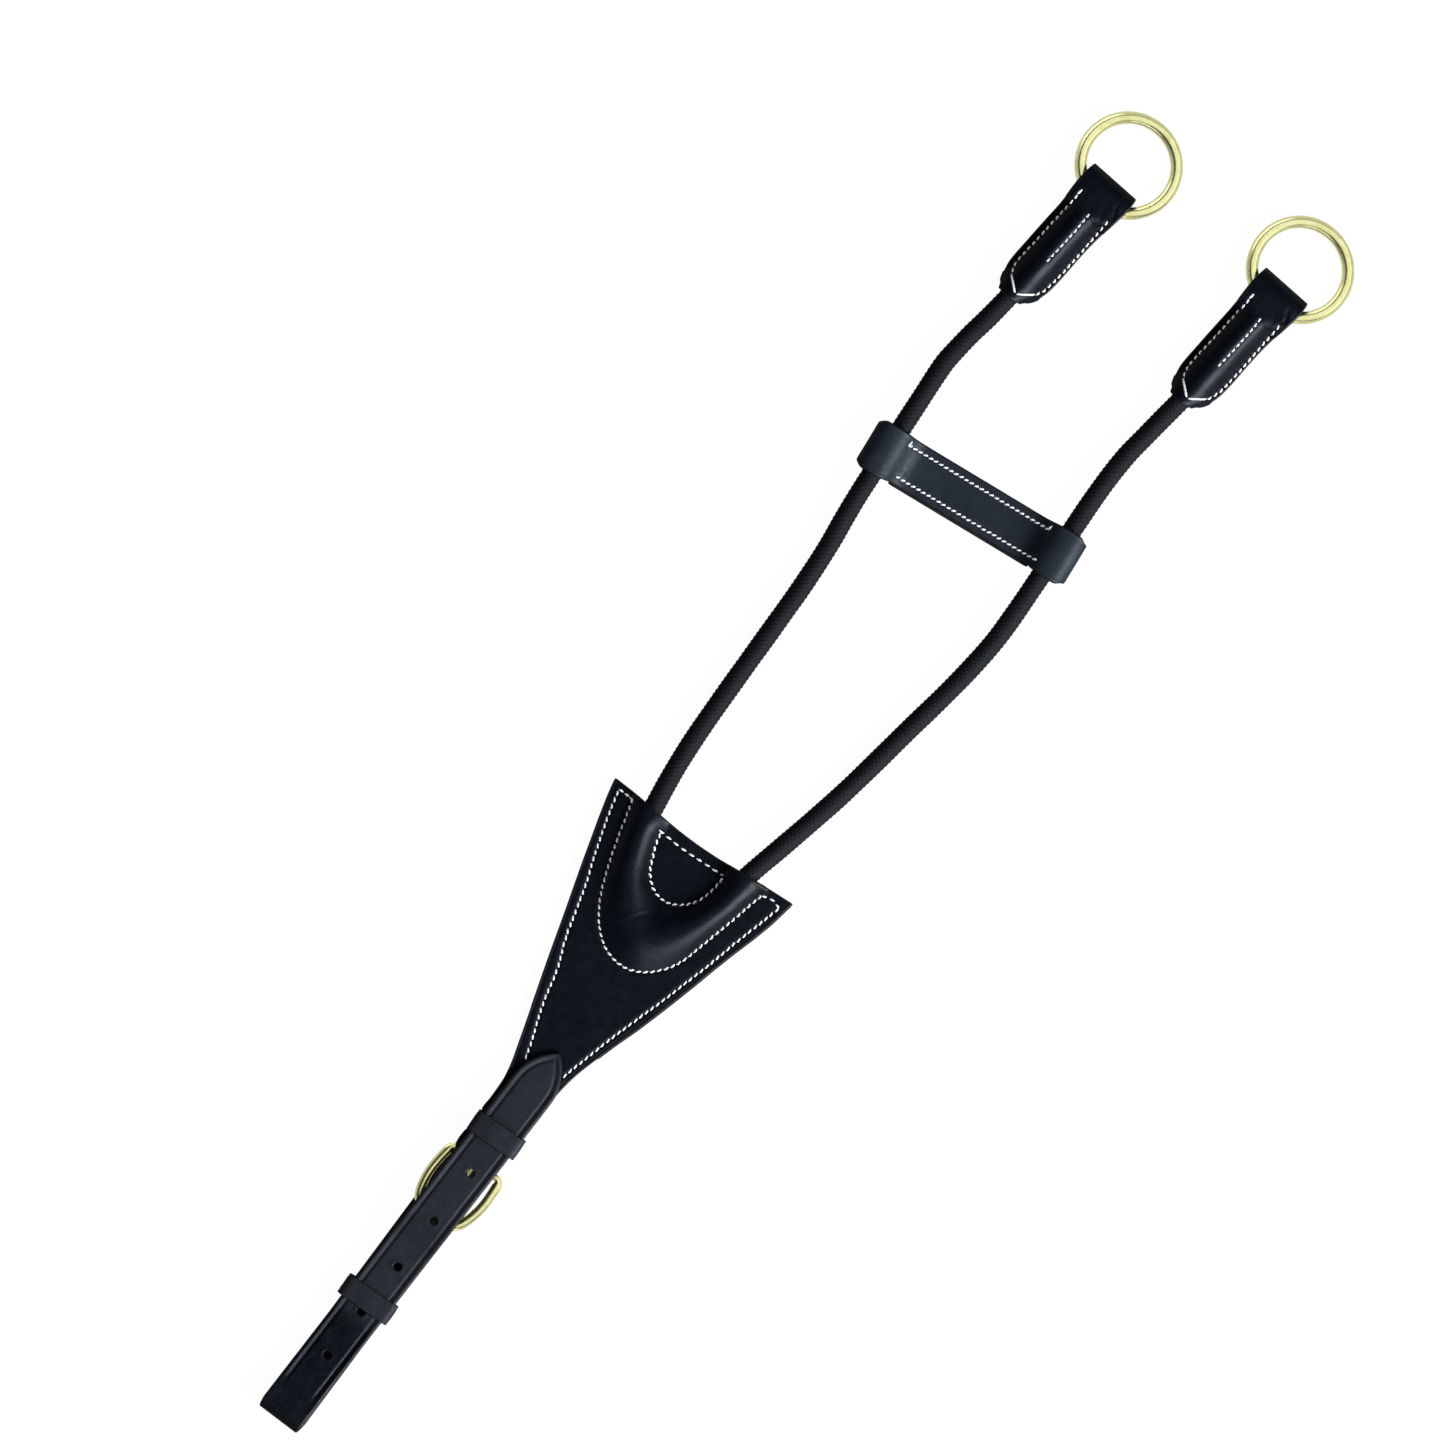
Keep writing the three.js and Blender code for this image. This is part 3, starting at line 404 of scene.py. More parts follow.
class Sheet:
    """A piece of leather: a grid of middle points (rows along, columns across) with a thickness, both faces
    and rounded edges. The first face is on the side that columns x rows points to."""

    def __init__(self, mid, thick, edge=0.5, face=None, back=None, rings=5):
        mid = np.asarray(mid, float)
        R, C = mid.shape[:2]
        dr, dc = np.gradient(mid, axis=0), np.gradient(mid, axis=1)
        n = unit(np.cross(dc, dr))
        th = np.broadcast_to(np.asarray(thick, float), (R, C))[..., None]
        top = mid + n * th / 2
        bot = mid - n * th / 2
        if face is not None:
            top = top + n * np.asarray(face)[..., None]
        if back is not None:
            bot = bot + n * np.asarray(back)[..., None]
        idx = np.arange(R * C).reshape(R, C)
        ring = np.concatenate([idx[0, :], idx[1:, -1], idx[-1, -2::-1], idx[-2:0:-1, 0]])
        out = np.zeros((R, C, 3))
        ur, uc = unit(dr), unit(dc)
        out[0] -= ur[0]
        out[-1] += ur[-1]
        out[:, 0] -= uc[:, 0]
        out[:, -1] += uc[:, -1]
        out = unit(out).reshape(-1, 3)[ring]
        T, B = top.reshape(-1, 3), bot.reshape(-1, 3)
        c, h = (T[ring] + B[ring]) / 2, (T[ring] - B[ring]) / 2
        verts = [T, B]
        loops = [ring]
        base = 2 * R * C
        M = len(ring)
        for k in range(1, rings):
            a = math.pi / 2 - math.pi * k / rings
            e = np.minimum(edge, np.linalg.norm(h, axis=1) * 0.9)[:, None] if np.isscalar(edge) else edge
            verts.append(c + h * math.sin(a) + out * e * math.cos(a))
            loops.append(np.arange(base, base + M))
            base += M
        loops.append(ring + R * C)
        q = np.stack([idx[:-1, :-1], idx[:-1, 1:], idx[1:, 1:], idx[1:, :-1]], -1).reshape(-1, 4)
        faces = [q, q[:, ::-1] + R * C]
        mat = [np.zeros(len(q)), np.full(len(q), 2)]
        for a, b in zip(loops[:-1], loops[1:]):
            a2, b2 = np.roll(a, -1), np.roll(b, -1)
            faces.append(np.stack([a, b, b2, a2], 1))
            mat.append(np.ones(M))
        self.verts = np.vstack(verts)
        self.faces = np.vstack(faces)
        self.mat = np.concatenate(mat).astype(int)
        self.nq = len(q)
        self.grid = (R, C)

    def tree(self, side=0):
        """For finding the surface: side 0 is the first face, 1 the other."""
        f = self.faces[: self.nq] if side == 0 else self.faces[self.nq : 2 * self.nq]
        return BVHTree.FromPolygons([Vector(v) for v in self.verts], [list(map(int, x)) for x in f])

    def build(self, name, face, edge=None, back=None):
        return make(name, self.verts, self.faces, [face, edge or EDGE, back or face], self.mat)


def cut(ob, cutters):
    """Takes the cutters' solids out of ob."""
    for c in cutters:
        mod = ob.modifiers.new("cut", "BOOLEAN")
        mod.operation = "DIFFERENCE"
        mod.solver = "EXACT"
        mod.object = c
    dg = bpy.context.evaluated_depsgraph_get()
    me = bpy.data.meshes.new_from_object(ob.evaluated_get(dg))
    ob.modifiers.clear()
    old = ob.data
    ob.data = me
    bpy.data.meshes.remove(old)
    for c in cutters:
        bpy.data.objects.remove(c)
    me.set_sharp_from_angle(angle=math.radians(38))
    return ob


def lathe_z(name, profile, x, y, z=0.0, seg=28, tilt=0.0):
    """A closed turned solid about a vertical line."""
    v, f = [], []
    n = len(profile)
    for k in range(seg):
        a = 2 * math.pi * k / seg
        for r, h in profile:
            v.append((x + r * math.cos(a), y + r * math.sin(a), z + h))
    for k in range(seg):
        k2 = (k + 1) % seg
        for i in range(n - 1):
            f.append((k * n + i, k2 * n + i, k2 * n + i + 1, k * n + i + 1))
    f.append([k * n for k in range(seg)][::-1])
    f.append([k * n + n - 1 for k in range(seg)])
    return make(name, v, f, [EDGE])


def block(name, lo, hi):
    v = [(x, y, z) for z in (lo[2], hi[2]) for y in (lo[1], hi[1]) for x in (lo[0], hi[0])]
    f = [(0, 2, 3, 1), (4, 5, 7, 6), (0, 1, 5, 4), (2, 6, 7, 3), (0, 4, 6, 2), (1, 3, 7, 5)]
    return make(name, v, f, [EDGE])


def sweep(path, radius, sides, closed=False, wobble=None, up=(0, 0, 1), round_end=0):
    """Verts and faces of a round bar along path. radius is a number or one per point; wobble(i, angles) adds to it."""
    p = np.asarray(path, float)
    n = len(p)
    if closed:
        t = unit(np.roll(p, -1, 0) - np.roll(p, 1, 0))
    else:
        t = unit(np.gradient(p, axis=0))
    side = unit(np.cross(t, np.asarray(up, float)))
    top = np.cross(side, t)
    rad = np.broadcast_to(np.asarray(radius, float), (n,)).copy()
    a = 2 * np.pi * np.arange(sides) / sides
    r = rad[:, None] + (wobble(np.arange(n), a) if wobble else 0.0)
    v = p[:, None] + r[..., None] * (np.cos(a)[None, :, None] * side[:, None] + np.sin(a)[None, :, None] * top[:, None])
    v = v.reshape(-1, 3)
    idx = np.arange(n * sides).reshape(n, sides)
    nxt = np.roll(idx, -1, 1)
    if closed:
        r2, n2 = np.roll(idx, -1, 0), np.roll(nxt, -1, 0)
        return v, np.stack([idx, r2, n2, nxt], -1).reshape(-1, 4).tolist()
    f = np.stack([idx[:-1], idx[1:], nxt[1:], nxt[:-1]], -1).reshape(-1, 4).tolist()
    # rounded ends
    extra, base = [], len(v)
    for end in (0, n - 1):
        loop = list(idx[end])
        out = -t[0] if end == 0 else t[-1]
        rr, c = r[end], p[end]
        dirs = np.cos(a)[:, None] * side[end] + np.sin(a)[:, None] * top[end]
        if round_end:
            for k in (1, 2, 3):
                ph = k * math.pi / 8
                ringv = c + out * round_end * math.sin(ph) + dirs * (rr * math.cos(ph))[:, None]
                extra.append(ringv)
                new = list(range(base, base + sides))
                base += sides
                for i in range(sides):
                    j = (i + 1) % sides
                    q = [loop[i], loop[j], new[j], new[i]]
                    f.append(q if end == 0 else q[::-1])
                loop = new
        f.append(loop if end == 0 else loop[::-1])
    if extra:
        v = np.vstack([v, *extra])
    return v, f


class Bag:
    """Collects many small solids into one mesh."""

    def __init__(self):
        self.v, self.f, self.n = [], [], 0

    def add(self, v, f):
        self.v.append(np.asarray(v, float))
        self.f += [[int(i) + self.n for i in x] for x in f]
        self.n += len(v)

    def build(self, name, mat, angle=None):
        return make(name, np.vstack(self.v), self.f, [mat], angle=angle)


def surface(tree, x, y, below=False):
    if below:
        hit = tree.ray_cast(Vector((x, y, -80)), Vector((0, 0, 1)))
    else:
        hit = tree.ray_cast(Vector((x, y, 80)), Vector((0, 0, -1)))
    if hit[0] is None:
        hit = tree.find_nearest(Vector((x, y, 0 if below else 10)))
    n = np.array(hit[1])
    if (n[2] > 0) == below:
        n = -n
    return np.array(hit[0]), n


def one_stitch(bag, tree, a, b, r, below=False, lift=0.42, turns=1.6, phase=0.0):
    """A dash of two-ply thread from hole a to hole b, standing a little proud between them."""
    m = 10
    pts = []
    c, n = surface(tree, *((np.asarray(a) + np.asarray(b)) / 2), below)
    pa, _ = surface(tree, a[0], a[1], below)
    pb, _ = surface(tree, b[0], b[1], below)
    for k in range(m + 1):
        t = k / m
        w = abs(2 * t - 1)
        base = lerp(lerp(pa, c, min(1, 2 * t)), pb, max(0, 2 * t - 1))
        pts.append(base + n * r * (lift - (lift + 1.25) * w**2.6))
    pts = np.array(pts)
    tt = np.linspace(0, 1, m + 1)
    rad = r * (0.66 + 0.34 * np.sin(np.pi * tt) ** 0.7)
    ply = lambda i, ang: r * 0.11 * np.cos(2 * (ang[None, :] - 2 * np.pi * turns * 0.5 * tt[i][:, None]) + phase)
    v, f = sweep(pts, rad, 10, wobble=ply, up=n)
    bag.add(v, f)


def stitch_line(bag, tree, line, pitch, dash, r, slant=0.0, below=False, start=0.0, jitter=0.05, skip=(), tilt_off=0.0):
    """Saddle stitches along a polyline: equal pitch, each dash turned by slant degrees from the line."""
    p = spline(line, 0.25)
    s = np.concatenate([[0], np.cumsum(np.linalg.norm(np.diff(p, axis=0), axis=1))])
    count = max(1, int(round((s[-1] - start) / pitch)))
    step = (s[-1] - start) / count
    for k in range(count + 1):
        if k in skip:
            continue
        at = start + k * step
        c = np.array([np.interp(at, s, p[:, 0]), np.interp(at, s, p[:, 1])])
        lo = np.array([np.interp(max(0, at - 0.8), s, p[:, 0]), np.interp(max(0, at - 0.8), s, p[:, 1])])
        hi = np.array([np.interp(min(s[-1], at + 0.8), s, p[:, 0]), np.interp(min(s[-1], at + 0.8), s, p[:, 1])])
        d = unit(hi - lo)
        g = math.radians(slant + RNG.normal(0, 2.0))
        d = np.array([d[0] * math.cos(g) - d[1] * math.sin(g), d[0] * math.sin(g) + d[1] * math.cos(g)])
        c = c + RNG.normal(0, jitter, 2)
        L = dash * (1 + RNG.normal(0, 0.03)) / 2
        one_stitch(bag, tree, c - d * L, c + d * L, r, below, phase=RNG.uniform(0, 6))


# ---- outlines shared by the leather pieces ---------------------------------------------------------------
yoke_left = curve1([(8, -10.6), (13.2, -12.1), (25.6, -12.1), (30, -13.0), (36, -13.3), (40, -13.7), (45, -14.8), (50, -16.3), (55, -18.1), (60, -19.8), (70, -23.3), (80, -26.8), (90, -30.3), (110, -37.0), (130, -43.9), (150, -50.5), (160, -53.6), (168, -55.6)], 1.6)
yoke_right = curve1([(8, 7.2), (30, 7.3), (40, 7.6), (50, 8.1), (56, 8.7), (60, 9.4), (65, 10.5), (70, 11.8), (80, 14.5), (90, 17.5), (100, 20.1), (110, 22.5), (120, 24.8), (130, 26.9), (140, 29.2), (150, 31.8), (160, 34.0), (172.4, 35.7)], 1.6)
yoke_top = curve1([(-55.6, 167.6), (-44, 167.7), (-30, 167.0), (-20, 166.7), (-10, 167.0), (0, 167.8), (10, 169.4), (20, 170.6), (28, 171.5), (35.7, 172.3)], 2.5)
SPLIT_Y = 70.0

OUTER_ROW = [(-12.2, 52.5), (-13.6, 57), (-16, 63), (-18.6, 69.5), (-21, 76), (-25, 90), (-30, 101.5), (-34, 114), (-38, 126), (-41, 133.5), (-44, 141.5), (-47, 150), (-49.6, 158), (-50.9, 163)]
U_ROW = [(-44.2, 164.3), (-43, 161.5), (-41, 155), (-38.5, 147), (-36, 140), (-33, 132.5), (-30, 126), (-26, 119.3), (-22, 114.6), (-18, 111.2), (-13, 108.6), (-8, 107.5), (-3, 107.8), (2, 109.6), (6, 112.6), (10, 117), (13, 122), (15.3, 129), (17, 137), (18.6, 145), (20.2, 152), (21.6, 160), (23, 166)]
RIGHT_ROW = [(32, 166.2), (31, 162), (29.4, 155), (27.5, 147), (25.4, 137), (23.2, 127), (21.2, 119), (19, 110), (16, 99), (13.5, 90), (10.6, 79), (8.6, 70), (6.7, 62), (5.6, 56.5)]
D_TOP = [(-26.3, 162), (-20, 161.7), (-14, 161.8), (-8, 162.4), (0, 163.0), (5.2, 163.6)]
D_ROW = [(6.1, 161.6), (5.7, 156), (4.3, 150), (2.2, 146), (-1, 142.6), (-4.6, 140.5), (-8, 139.8), (-12, 140.2), (-16.6, 142.6), (-20, 146.2), (-23, 152), (-25.3, 157.6), (-26, 160)]
LEFT_CORNER = [(-50.2, 165.0), (-44.8, 165.0)]
RIGHT_CORNER = [(24.6, 167.5), (28.4, 168.4), (31.2, 167.8)]


# the folded end of the front leather, drawn in where the keeper squeezes it
chape_left = curve1([(-4, -10.5), (3.2, -10.9), (5, -12.0), (7, -12.9), (9, -13.15), (13.2, -13.05), (14.2, -12.15), (23.0, -12.15), (24.0, -13.0), (30, -13.2), (36, -13.45), (40, -13.8), (45, -14.85), (50, -16.3), (55, -18.1), (60, -19.8), (70, -23.3), (80, -26.8)], 0.4)


def tail_mid(y):
    return (yoke_left(y) + yoke_right(y)) / 2


FRONT_T, BACK_T, CHAPE_T = 2.0, 2.4, 1.4
FRONT_Z = BACK_T + 0.2 + FRONT_T / 2
u_line = spline(U_ROW, 0.6)
d_line = spline(D_ROW, 0.6)
BULGE_OUT = np.vstack([[(-45.4, 178)], u_line, [(24.6, 178)]])
BULGE_IN = np.vstack([[(7.4, 178)], d_line, [(-27.6, 178)]])


def bulge(x, y):
    """Height of the moulded channel over the cord: 0 at both stitch rows, full over the cord."""
    m = inside(x, y, BULGE_OUT) & ~inside(x, y, BULGE_IN)
    do, di = near(x, y, BULGE_OUT), near(x, y, BULGE_IN)
    # the two closing spans above the top edge aren't part of the rows, and their points are far apart
    u = do / np.maximum(do + di, 1e-6)
    wide = do + di
    q = np.abs(2 * u - 1)
    h = np.clip(1 - q ** lerp(2.5, 2.05, smooth(18, 30, wide)), 0, 1) ** lerp(1.10, 1.30, smooth(18, 30, wide))
    tall = lerp(8.05, 7.5, smooth(18, 31, wide))
    return np.where(m, h * tall, 0.0)


def row_dip(x, y, lines, depth=0.28, width=0.75):
    d = np.full(np.shape(x), 1e9)
    for line in lines:
        d = np.minimum(d, near(x, y, spline(line, 0.5)))
    return -depth * np.exp(-((d / width) ** 2))


# ---- yoke front leather, with its end turned round the buckle bar ------------------------------------------
BAR_Y, BAR_Z, BUCKLE_X = 4.7, 7.65, -0.65
TILT, DROP = 0.0, math.radians(2.6)
WRAP_R = 1.6 + 0.35 + CHAPE_T / 2


def front_grid():
    # lower end: under the bar, round it, and up to the flex line
    low = [(29, 4.95), (22, 4.95), (13, 4.95), (8.5, 4.98)]
    for k in range(9):
        a = -math.pi / 2 - (k / 8) * math.pi
        low.append((BAR_Y + WRAP_R * math.cos(a), BAR_Z + WRAP_R * math.sin(a)))
    low += [(8.5, 9.8), (13, 8.35), (18, 7.2), (24, 6.95), (31, 6.85), (38, 6.2), (45, 5.35), (52, 4.7), (58, 4.02), (64, 3.72), (SPLIT_Y, 3.64)]
    p = spline(low, 0.85)
    C = 116
    s = np.linspace(0, 1, C)
    rows = []
    for i, (y, z) in enumerate(p[:-1]):
        l, r = chape_left(y) + 0.45, yoke_right(y) - 0.45
        x = lerp(l, r, s)
        yy = y + np.tan(TILT) * (x - BUCKLE_X) * (1 - smooth(9, 15, y))
        rows.append(np.stack([x, yy, np.full(C, z)], 1))
    n_low = len(rows)
    for t in np.linspace(0, 1, 150):
        y = lerp(SPLIT_Y, yoke_top(lerp(-55.6, 35.7, s)) - 0.45, t)
        x = lerp(yoke_left(y) + 0.45, yoke_right(y) - 0.45, s)
        z = FRONT_Z + 0.04 * (1 - smooth(0, 0.1, t)) + bulge(x, y)
        rows.append(np.stack([x, y, z], 1))
    return np.array(rows), n_low


mid, n_low = front_grid()
X, Y = mid[..., 0], mid[..., 1]
upper = np.zeros(X.shape, bool)
upper[n_low - 40 :] = True
# let the hide sag a little beside the cord and lie unevenly, as a moulded piece does
mid[n_low:, :, 2] += 0.10 * wave(X[n_low:], Y[n_low:], 3, 34)
STITCHED = [OUTER_ROW, U_ROW, RIGHT_ROW, D_TOP, D_ROW, LEFT_CORNER, RIGHT_CORNER]
face = row_dip(X, Y, STITCHED) * upper
edge_d = np.minimum(X - yoke_left(Y), yoke_right(Y) - X)
# pressed line just inside the cut edge, and the small pull mark at the foot of the channel
face -= 0.16 * np.exp(-(((edge_d - 1.15) / 0.42) ** 2)) * upper
wr = spline([(-17.4, 120.2), (-15.6, 124.5), (-13.6, 128.2), (-11.6, 131.2)], 0.4)
wd = near(X, Y, wr)
face += 0.06 * np.exp(-((wd / 0.8) ** 2)) - 0.10 * np.exp(-((near(X, Y, wr + np.array([1.3, -0.6])) / 1.0) ** 2))
for x0, y0, x1, y1, dep in ((-34, 147, -28.5, 139, 0.06), (-30.5, 136, -25, 128.5, 0.05), (11.5, 139, 7.5, 129, 0.05), (-4, 118, 4, 121, 0.04)):
    face -= dep * np.exp(-((near(X, Y, spline([(x0, y0), ((x0 + x1) / 2 + 0.8, (y0 + y1) / 2), (x1, y1)], 0.5)) / 0.9) ** 2)) * upper
thick = np.broadcast_to(lerp(CHAPE_T, FRONT_T, smooth(0.08, 0.36, np.arange(len(mid)) / len(mid)))[:, None], X.shape)
front = Sheet(mid, thick, edge=0.55, face=face)
front_tree = front.tree(0)
front_ob = front.build("yoke_front_leather", YOKE, EDGE, FLESH)
cut(front_ob, [block("slot", (BUCKLE_X - 2.45, -0.2, 1.8), (BUCKLE_X + 2.15, 11.35, 14))])

# ---- back leather: yoke back, strap, folded loop and billet, one piece --------------------------------------
FOLD_Y, FOLD_R, BACK_LOW = -126.6, 3.6, 2.8
strap_back_x = lambda y: lerp(1.2 - 0.032 * (y + 125), tail_mid(y), smooth(-4, 13, y))
strap_front_x = lambda y: -0.9 - 0.012 * (y + 20)
tip_half = curve1([(-200, 10), (40, 10), (44, 9.95), (47, 9.75), (50, 9.1), (53, 7.9), (56, 6.25), (58, 4.85), (59.8, 3.3), (61.2, 1.9), (62.0, 0.75)], 0.7)


def back_grid():
    C = 54
    # columns closer together at both margins, where the crease lines run
    q = np.linspace(-1, 1, C)
    s = 0.5 + 0.5 * np.sign(q) * (1 - (1 - np.abs(q)) ** 1.35)
    rows, info = [], []
    for t in np.linspace(1, 0, 92)[:-1]:
        y = lerp(SPLIT_Y, yoke_top(lerp(-55.6, 35.7, s)) - 0.5, t)
        x = lerp(yoke_left(y) + 0.4, yoke_right(y) - 0.15, s)
        rows.append(np.stack([x, y, np.full(C, BACK_T / 2)], 1))
        info.append((2, 0.0))
    path = [(SPLIT_Y, 1.2, 0), (64, 1.2, 0), (58, 1.45, 0), (50, 2.2, 0), (42, 2.75, 0), (34, 2.8, 0), (22, 2.8, 0), (4, 2.8, 0), (-20, 2.8, 0), (-45, 2.8, 0), (-75, 2.8, 0), (-105, 2.8, 0)]
    for k in range(9):
        a = -math.pi / 2 - (k / 8) * math.pi
        path.append((FOLD_Y + FOLD_R * math.cos(a), BACK_LOW + FOLD_R + FOLD_R * math.sin(a), 10 * k / 8))
    path += [(y, z, 10) for y, z in ((-120.5, 9.6), (-113, 8.1), (-106, 7.0), (-98, 6.62), (-78, 6.6), (-58, 6.6), (-47, 6.75), (-39, 7.9), (-31, 10.75), (-23, 12.6), (-14, 13.2), (-4, 13.3), (5, 13.0), (12, 11.6), (18, 10.3), (24, 9.75), (32, 9.45), (38, 8.85), (45, 7.95), (52, 7.3), (58, 6.6), (62.0, 6.35))]
    p = spline(path, 1.0)
    arc = 0.0
    for i, (y, z, f10) in enumerate(p):
        f = min(1.0, max(0.0, f10 / 10))
        if i:
            arc += math.dist(p[i][:2], p[i - 1][:2])
        x0 = lerp(strap_back_x(y), strap_front_x(y), f)
        half = 10.0
        if f > 0.99:
            half = float(tip_half(y))
        if f < 0.01:
            half = lerp(half, (yoke_right(y) - yoke_left(y)) / 2, smooth(-4, 13, y))
        # the fold's corners are a little rounder than the straight strap
        half -= 0.25 * math.sin(math.pi * f) if 0.01 < f < 0.99 else 0
        half = max(half - 0.5, 0.12)
        x = x0 + (s - 0.5) * 2 * half
        if f < 0.01:
            spread = 1.6 * smooth(-14, 3, y) * (1 - 0.35 * smooth(8, 12, y)) * (1 - smooth(13.2, 14.4, y)) + 0.95 * smooth(23.0, 24.1, y) * (1 - smooth(25.5, 31, y))
            x = x - spread * (1 - s) ** 2
        rows.append(np.stack([x, np.full(C, y) + (0.022 * (x - x0) if 0.0 < f < 1 else 0), np.full(C, z)], 1))
        info.append((f, arc))
    return np.array(rows), np.array(info)


mid, info = back_grid()
X, Y = mid[..., 0], mid[..., 1]
R, C = X.shape
on_strap = (info[:, 0] <= 1.0)[:, None] & (Y < 40) | (info[:, 0] == 1.0)[:, None]
billet = (info[:, 0] >= 0.999)[:, None] & (info[:, 0] <= 1.0)[:, None]
left_edge, right_edge = mid[:, :1, :2], mid[:, -1:, :2]


def edge_distance(m):
    """Distance in the sheet from each point to the nearer long edge."""
    dl = np.linalg.norm(m - m[:, :1], axis=2)
    dr = np.linalg.norm(m - m[:, -1:], axis=2)
    half = np.maximum(dl[:, -1:] / 2, 1e-6)
    slope = np.gradient(half[:, 0])
    run = np.maximum(np.linalg.norm(np.gradient(mid[:, C // 2], axis=0), axis=1), 1e-6)
    k = 1 / np.sqrt(1 + (slope / run) ** 2)
    return (np.minimum(dl, dr) + 0.5) * k[:, None]


ed = edge_distance(mid)
groove = 2.9
fade = np.ones((R, 1))
yc = Y[:, C // 2 : C // 2 + 1]
fade = np.where(billet, smooth(-119, -111, yc), np.where(on_strap, smooth(32, 24, -yc + 0) * 0 + 1.0, 0.0))
fade = np.where((info[:, 0:1] > 0.001) & (info[:, 0:1] < 0.999), 0.0, fade)
back_layer = (info[:, 0:1] <= 0.001)
fade = np.where(back_layer, smooth(20, 8, yc) * smooth(-119, -108, yc), fade)
crease = -0.44 * np.where(ed < groove, np.exp(-(((ed - groove) / 1.0) ** 2)), np.exp(-(((ed - groove) / 0.48) ** 2)))
bead = 0.10 * np.exp(-(((ed - 1.1) / 0.7) ** 2)) - 0.14 * np.clip(1 - ed / 0.8, 0, 1)
face = (crease + bead) * fade
# near the point the two lines meet
face *= 1 - 0.9 * smooth(59.4, 60.8, Y) * billet
face += 0.05 * wave(X, Y, 8, 16) * billet
# the hide bulges slightly round each punched hole
HOLES = [(-0.1, 0.2), (0.3, -25.5), (0.5, -49.9), (0.2, -74.2), (0.4, -97.2)]
for hx, hy in HOLES:
    d = np.hypot(X - hx, Y - hy)
    face += np.where(billet, 0.16 * np.exp(-(((d - 2.6) / 0.7) ** 2)) - 0.10 * np.exp(-((d / 1.9) ** 2)), 0)
# pinch marks across the billet where it climbs over the buckle
for wy, dep in ((-34.0, 0.07), (-29.5, 0.09), (-26.2, 0.05), (9.6, 0.08), (14.0, 0.05)):
    face -= np.where(billet, dep * np.exp(-(((Y - wy - 0.4 * np.sin(X * 0.4 + wy)) / 0.5) ** 2)) * smooth(9.5, 3, np.abs(X - 1.2)), 0)
mid[..., 2] += 0.05 * wave(X, Y, 5, 40) * (info[:, 0:1] <= 1.0) * smooth(60, 40, Y)
# the row dips on the yoke's back, where the thread lies
yoke_rows = (info[:, 0] == 2)[:, None] & np.ones_like(X, bool)
face = np.where(yoke_rows, row_dip(X, Y, [OUTER_ROW, U_ROW, RIGHT_ROW, D_TOP, D_ROW, LEFT_CORNER, RIGHT_CORNER], 0.30, 0.8), face)
back = Sheet(mid, BACK_T, edge=0.7, face=face)
back_tree = back.tree(0)
strap_ob = back.build("back_leather_and_strap", STRAP, EDGE, FLESH)
# face centres of the back sheet in drawing millimetres; nothing gives the yoke's back a lining, so the whole sheet
# keeps the strap's finish
pc = np.zeros(len(strap_ob.data.polygons) * 3)
strap_ob.data.polygons.foreach_get("center", pc)
pc = pc.reshape(-1, 3) * 1000 - SHIFT
cutters = []
for hx, hy in HOLES:
    hit, _ = surface(back_tree, hx, hy)
    z = hit[2]
    cutters.append(lathe_z("hole", [(1.72, -3.2), (1.66, -0.5), (1.74, -0.16), (2.02, 0.14), (2.6, 0.8)], hx, hy, z, 30))
cut(strap_ob, cutters)

# ---- thread of the yoke -----------------------------------------------------------------------------------------
THREAD_R = 0.44
yoke_thread = Bag()
for line, slant in ((OUTER_ROW, 17), (U_ROW, 15), (RIGHT_ROW, 17)):
    stitch_line(yoke_thread, front_tree, line, 2.93, 2.25, THREAD_R, slant)
stitch_line(yoke_thread, front_tree, D_ROW, 2.93, 2.25, THREAD_R, 16)
stitch_line(yoke_thread, front_tree, D_TOP, 3.9, 2.6, THREAD_R, 6)
stitch_line(yoke_thread, front_tree, LEFT_CORNER, 2.7, 2.2, THREAD_R, 4)
stitch_line(yoke_thread, front_tree, RIGHT_CORNER, 3.1, 2.0, THREAD_R, 6)
for line, slant, pitch in ((OUTER_ROW, -9, 2.93), (U_ROW, -9, 2.93), (RIGHT_ROW, -9, 2.93), (D_ROW, -9, 2.93), (D_TOP, -5, 3.9), (LEFT_CORNER, -4, 2.7), (RIGHT_CORNER, -4, 3.1)):
    stitch_line(yoke_thread, back_tree, line, pitch, 2.0, THREAD_R * 0.9, slant, below=True)
thread_ob = yoke_thread.build("yoke_stitching", THREAD)

# ---- cord ----------------------------------------------------------------------------------------------------
LEFT_RUN = [(-48.3, 476), (-48.9, 468), (-49.5, 459), (-50.1, 449), (-50.9, 439), (-51.8, 430), (-52.5, 422.5), (-53.3, 415), (-54.5, 406.5), (-55.3, 398), (-55.75, 391), (-55.45, 385), (-54.03, 370), (-52.6, 355), (-51.18, 340), (-49.75, 325), (-48.2, 313), (-46.2, 300), (-44.2, 280), (-43.1, 260), (-42.2, 240), (-41.15, 220), (-39.75, 200), (-38.2, 186), (-36.2, 173.5), (-33.9, 162), (-30.6, 150.5), (-26.3, 140.5), (-20.6, 131.8), (-14.3, 126.2), (-8.0, 124.4)]
RIGHT_RUN = [(-1.7, 126.0), (4.3, 130.7), (8.5, 138.2), (11.0, 147.5), (12.3, 158.5), (13.8, 171), (16.8, 186), (19.55, 200), (23.1, 220), (25.85, 240), (28.35, 260), (31.0, 280), (32.75, 298), (33.4, 312), (32.95, 325), (31.87, 340), (30.79, 355), (29.71, 370), (28.63, 385), (28.2, 397), (28.4, 408), (29.3, 417), (30.3, 427), (31.4, 437), (32.7, 448), (33.7, 459), (34.3, 470), (35.3, 486.5)]
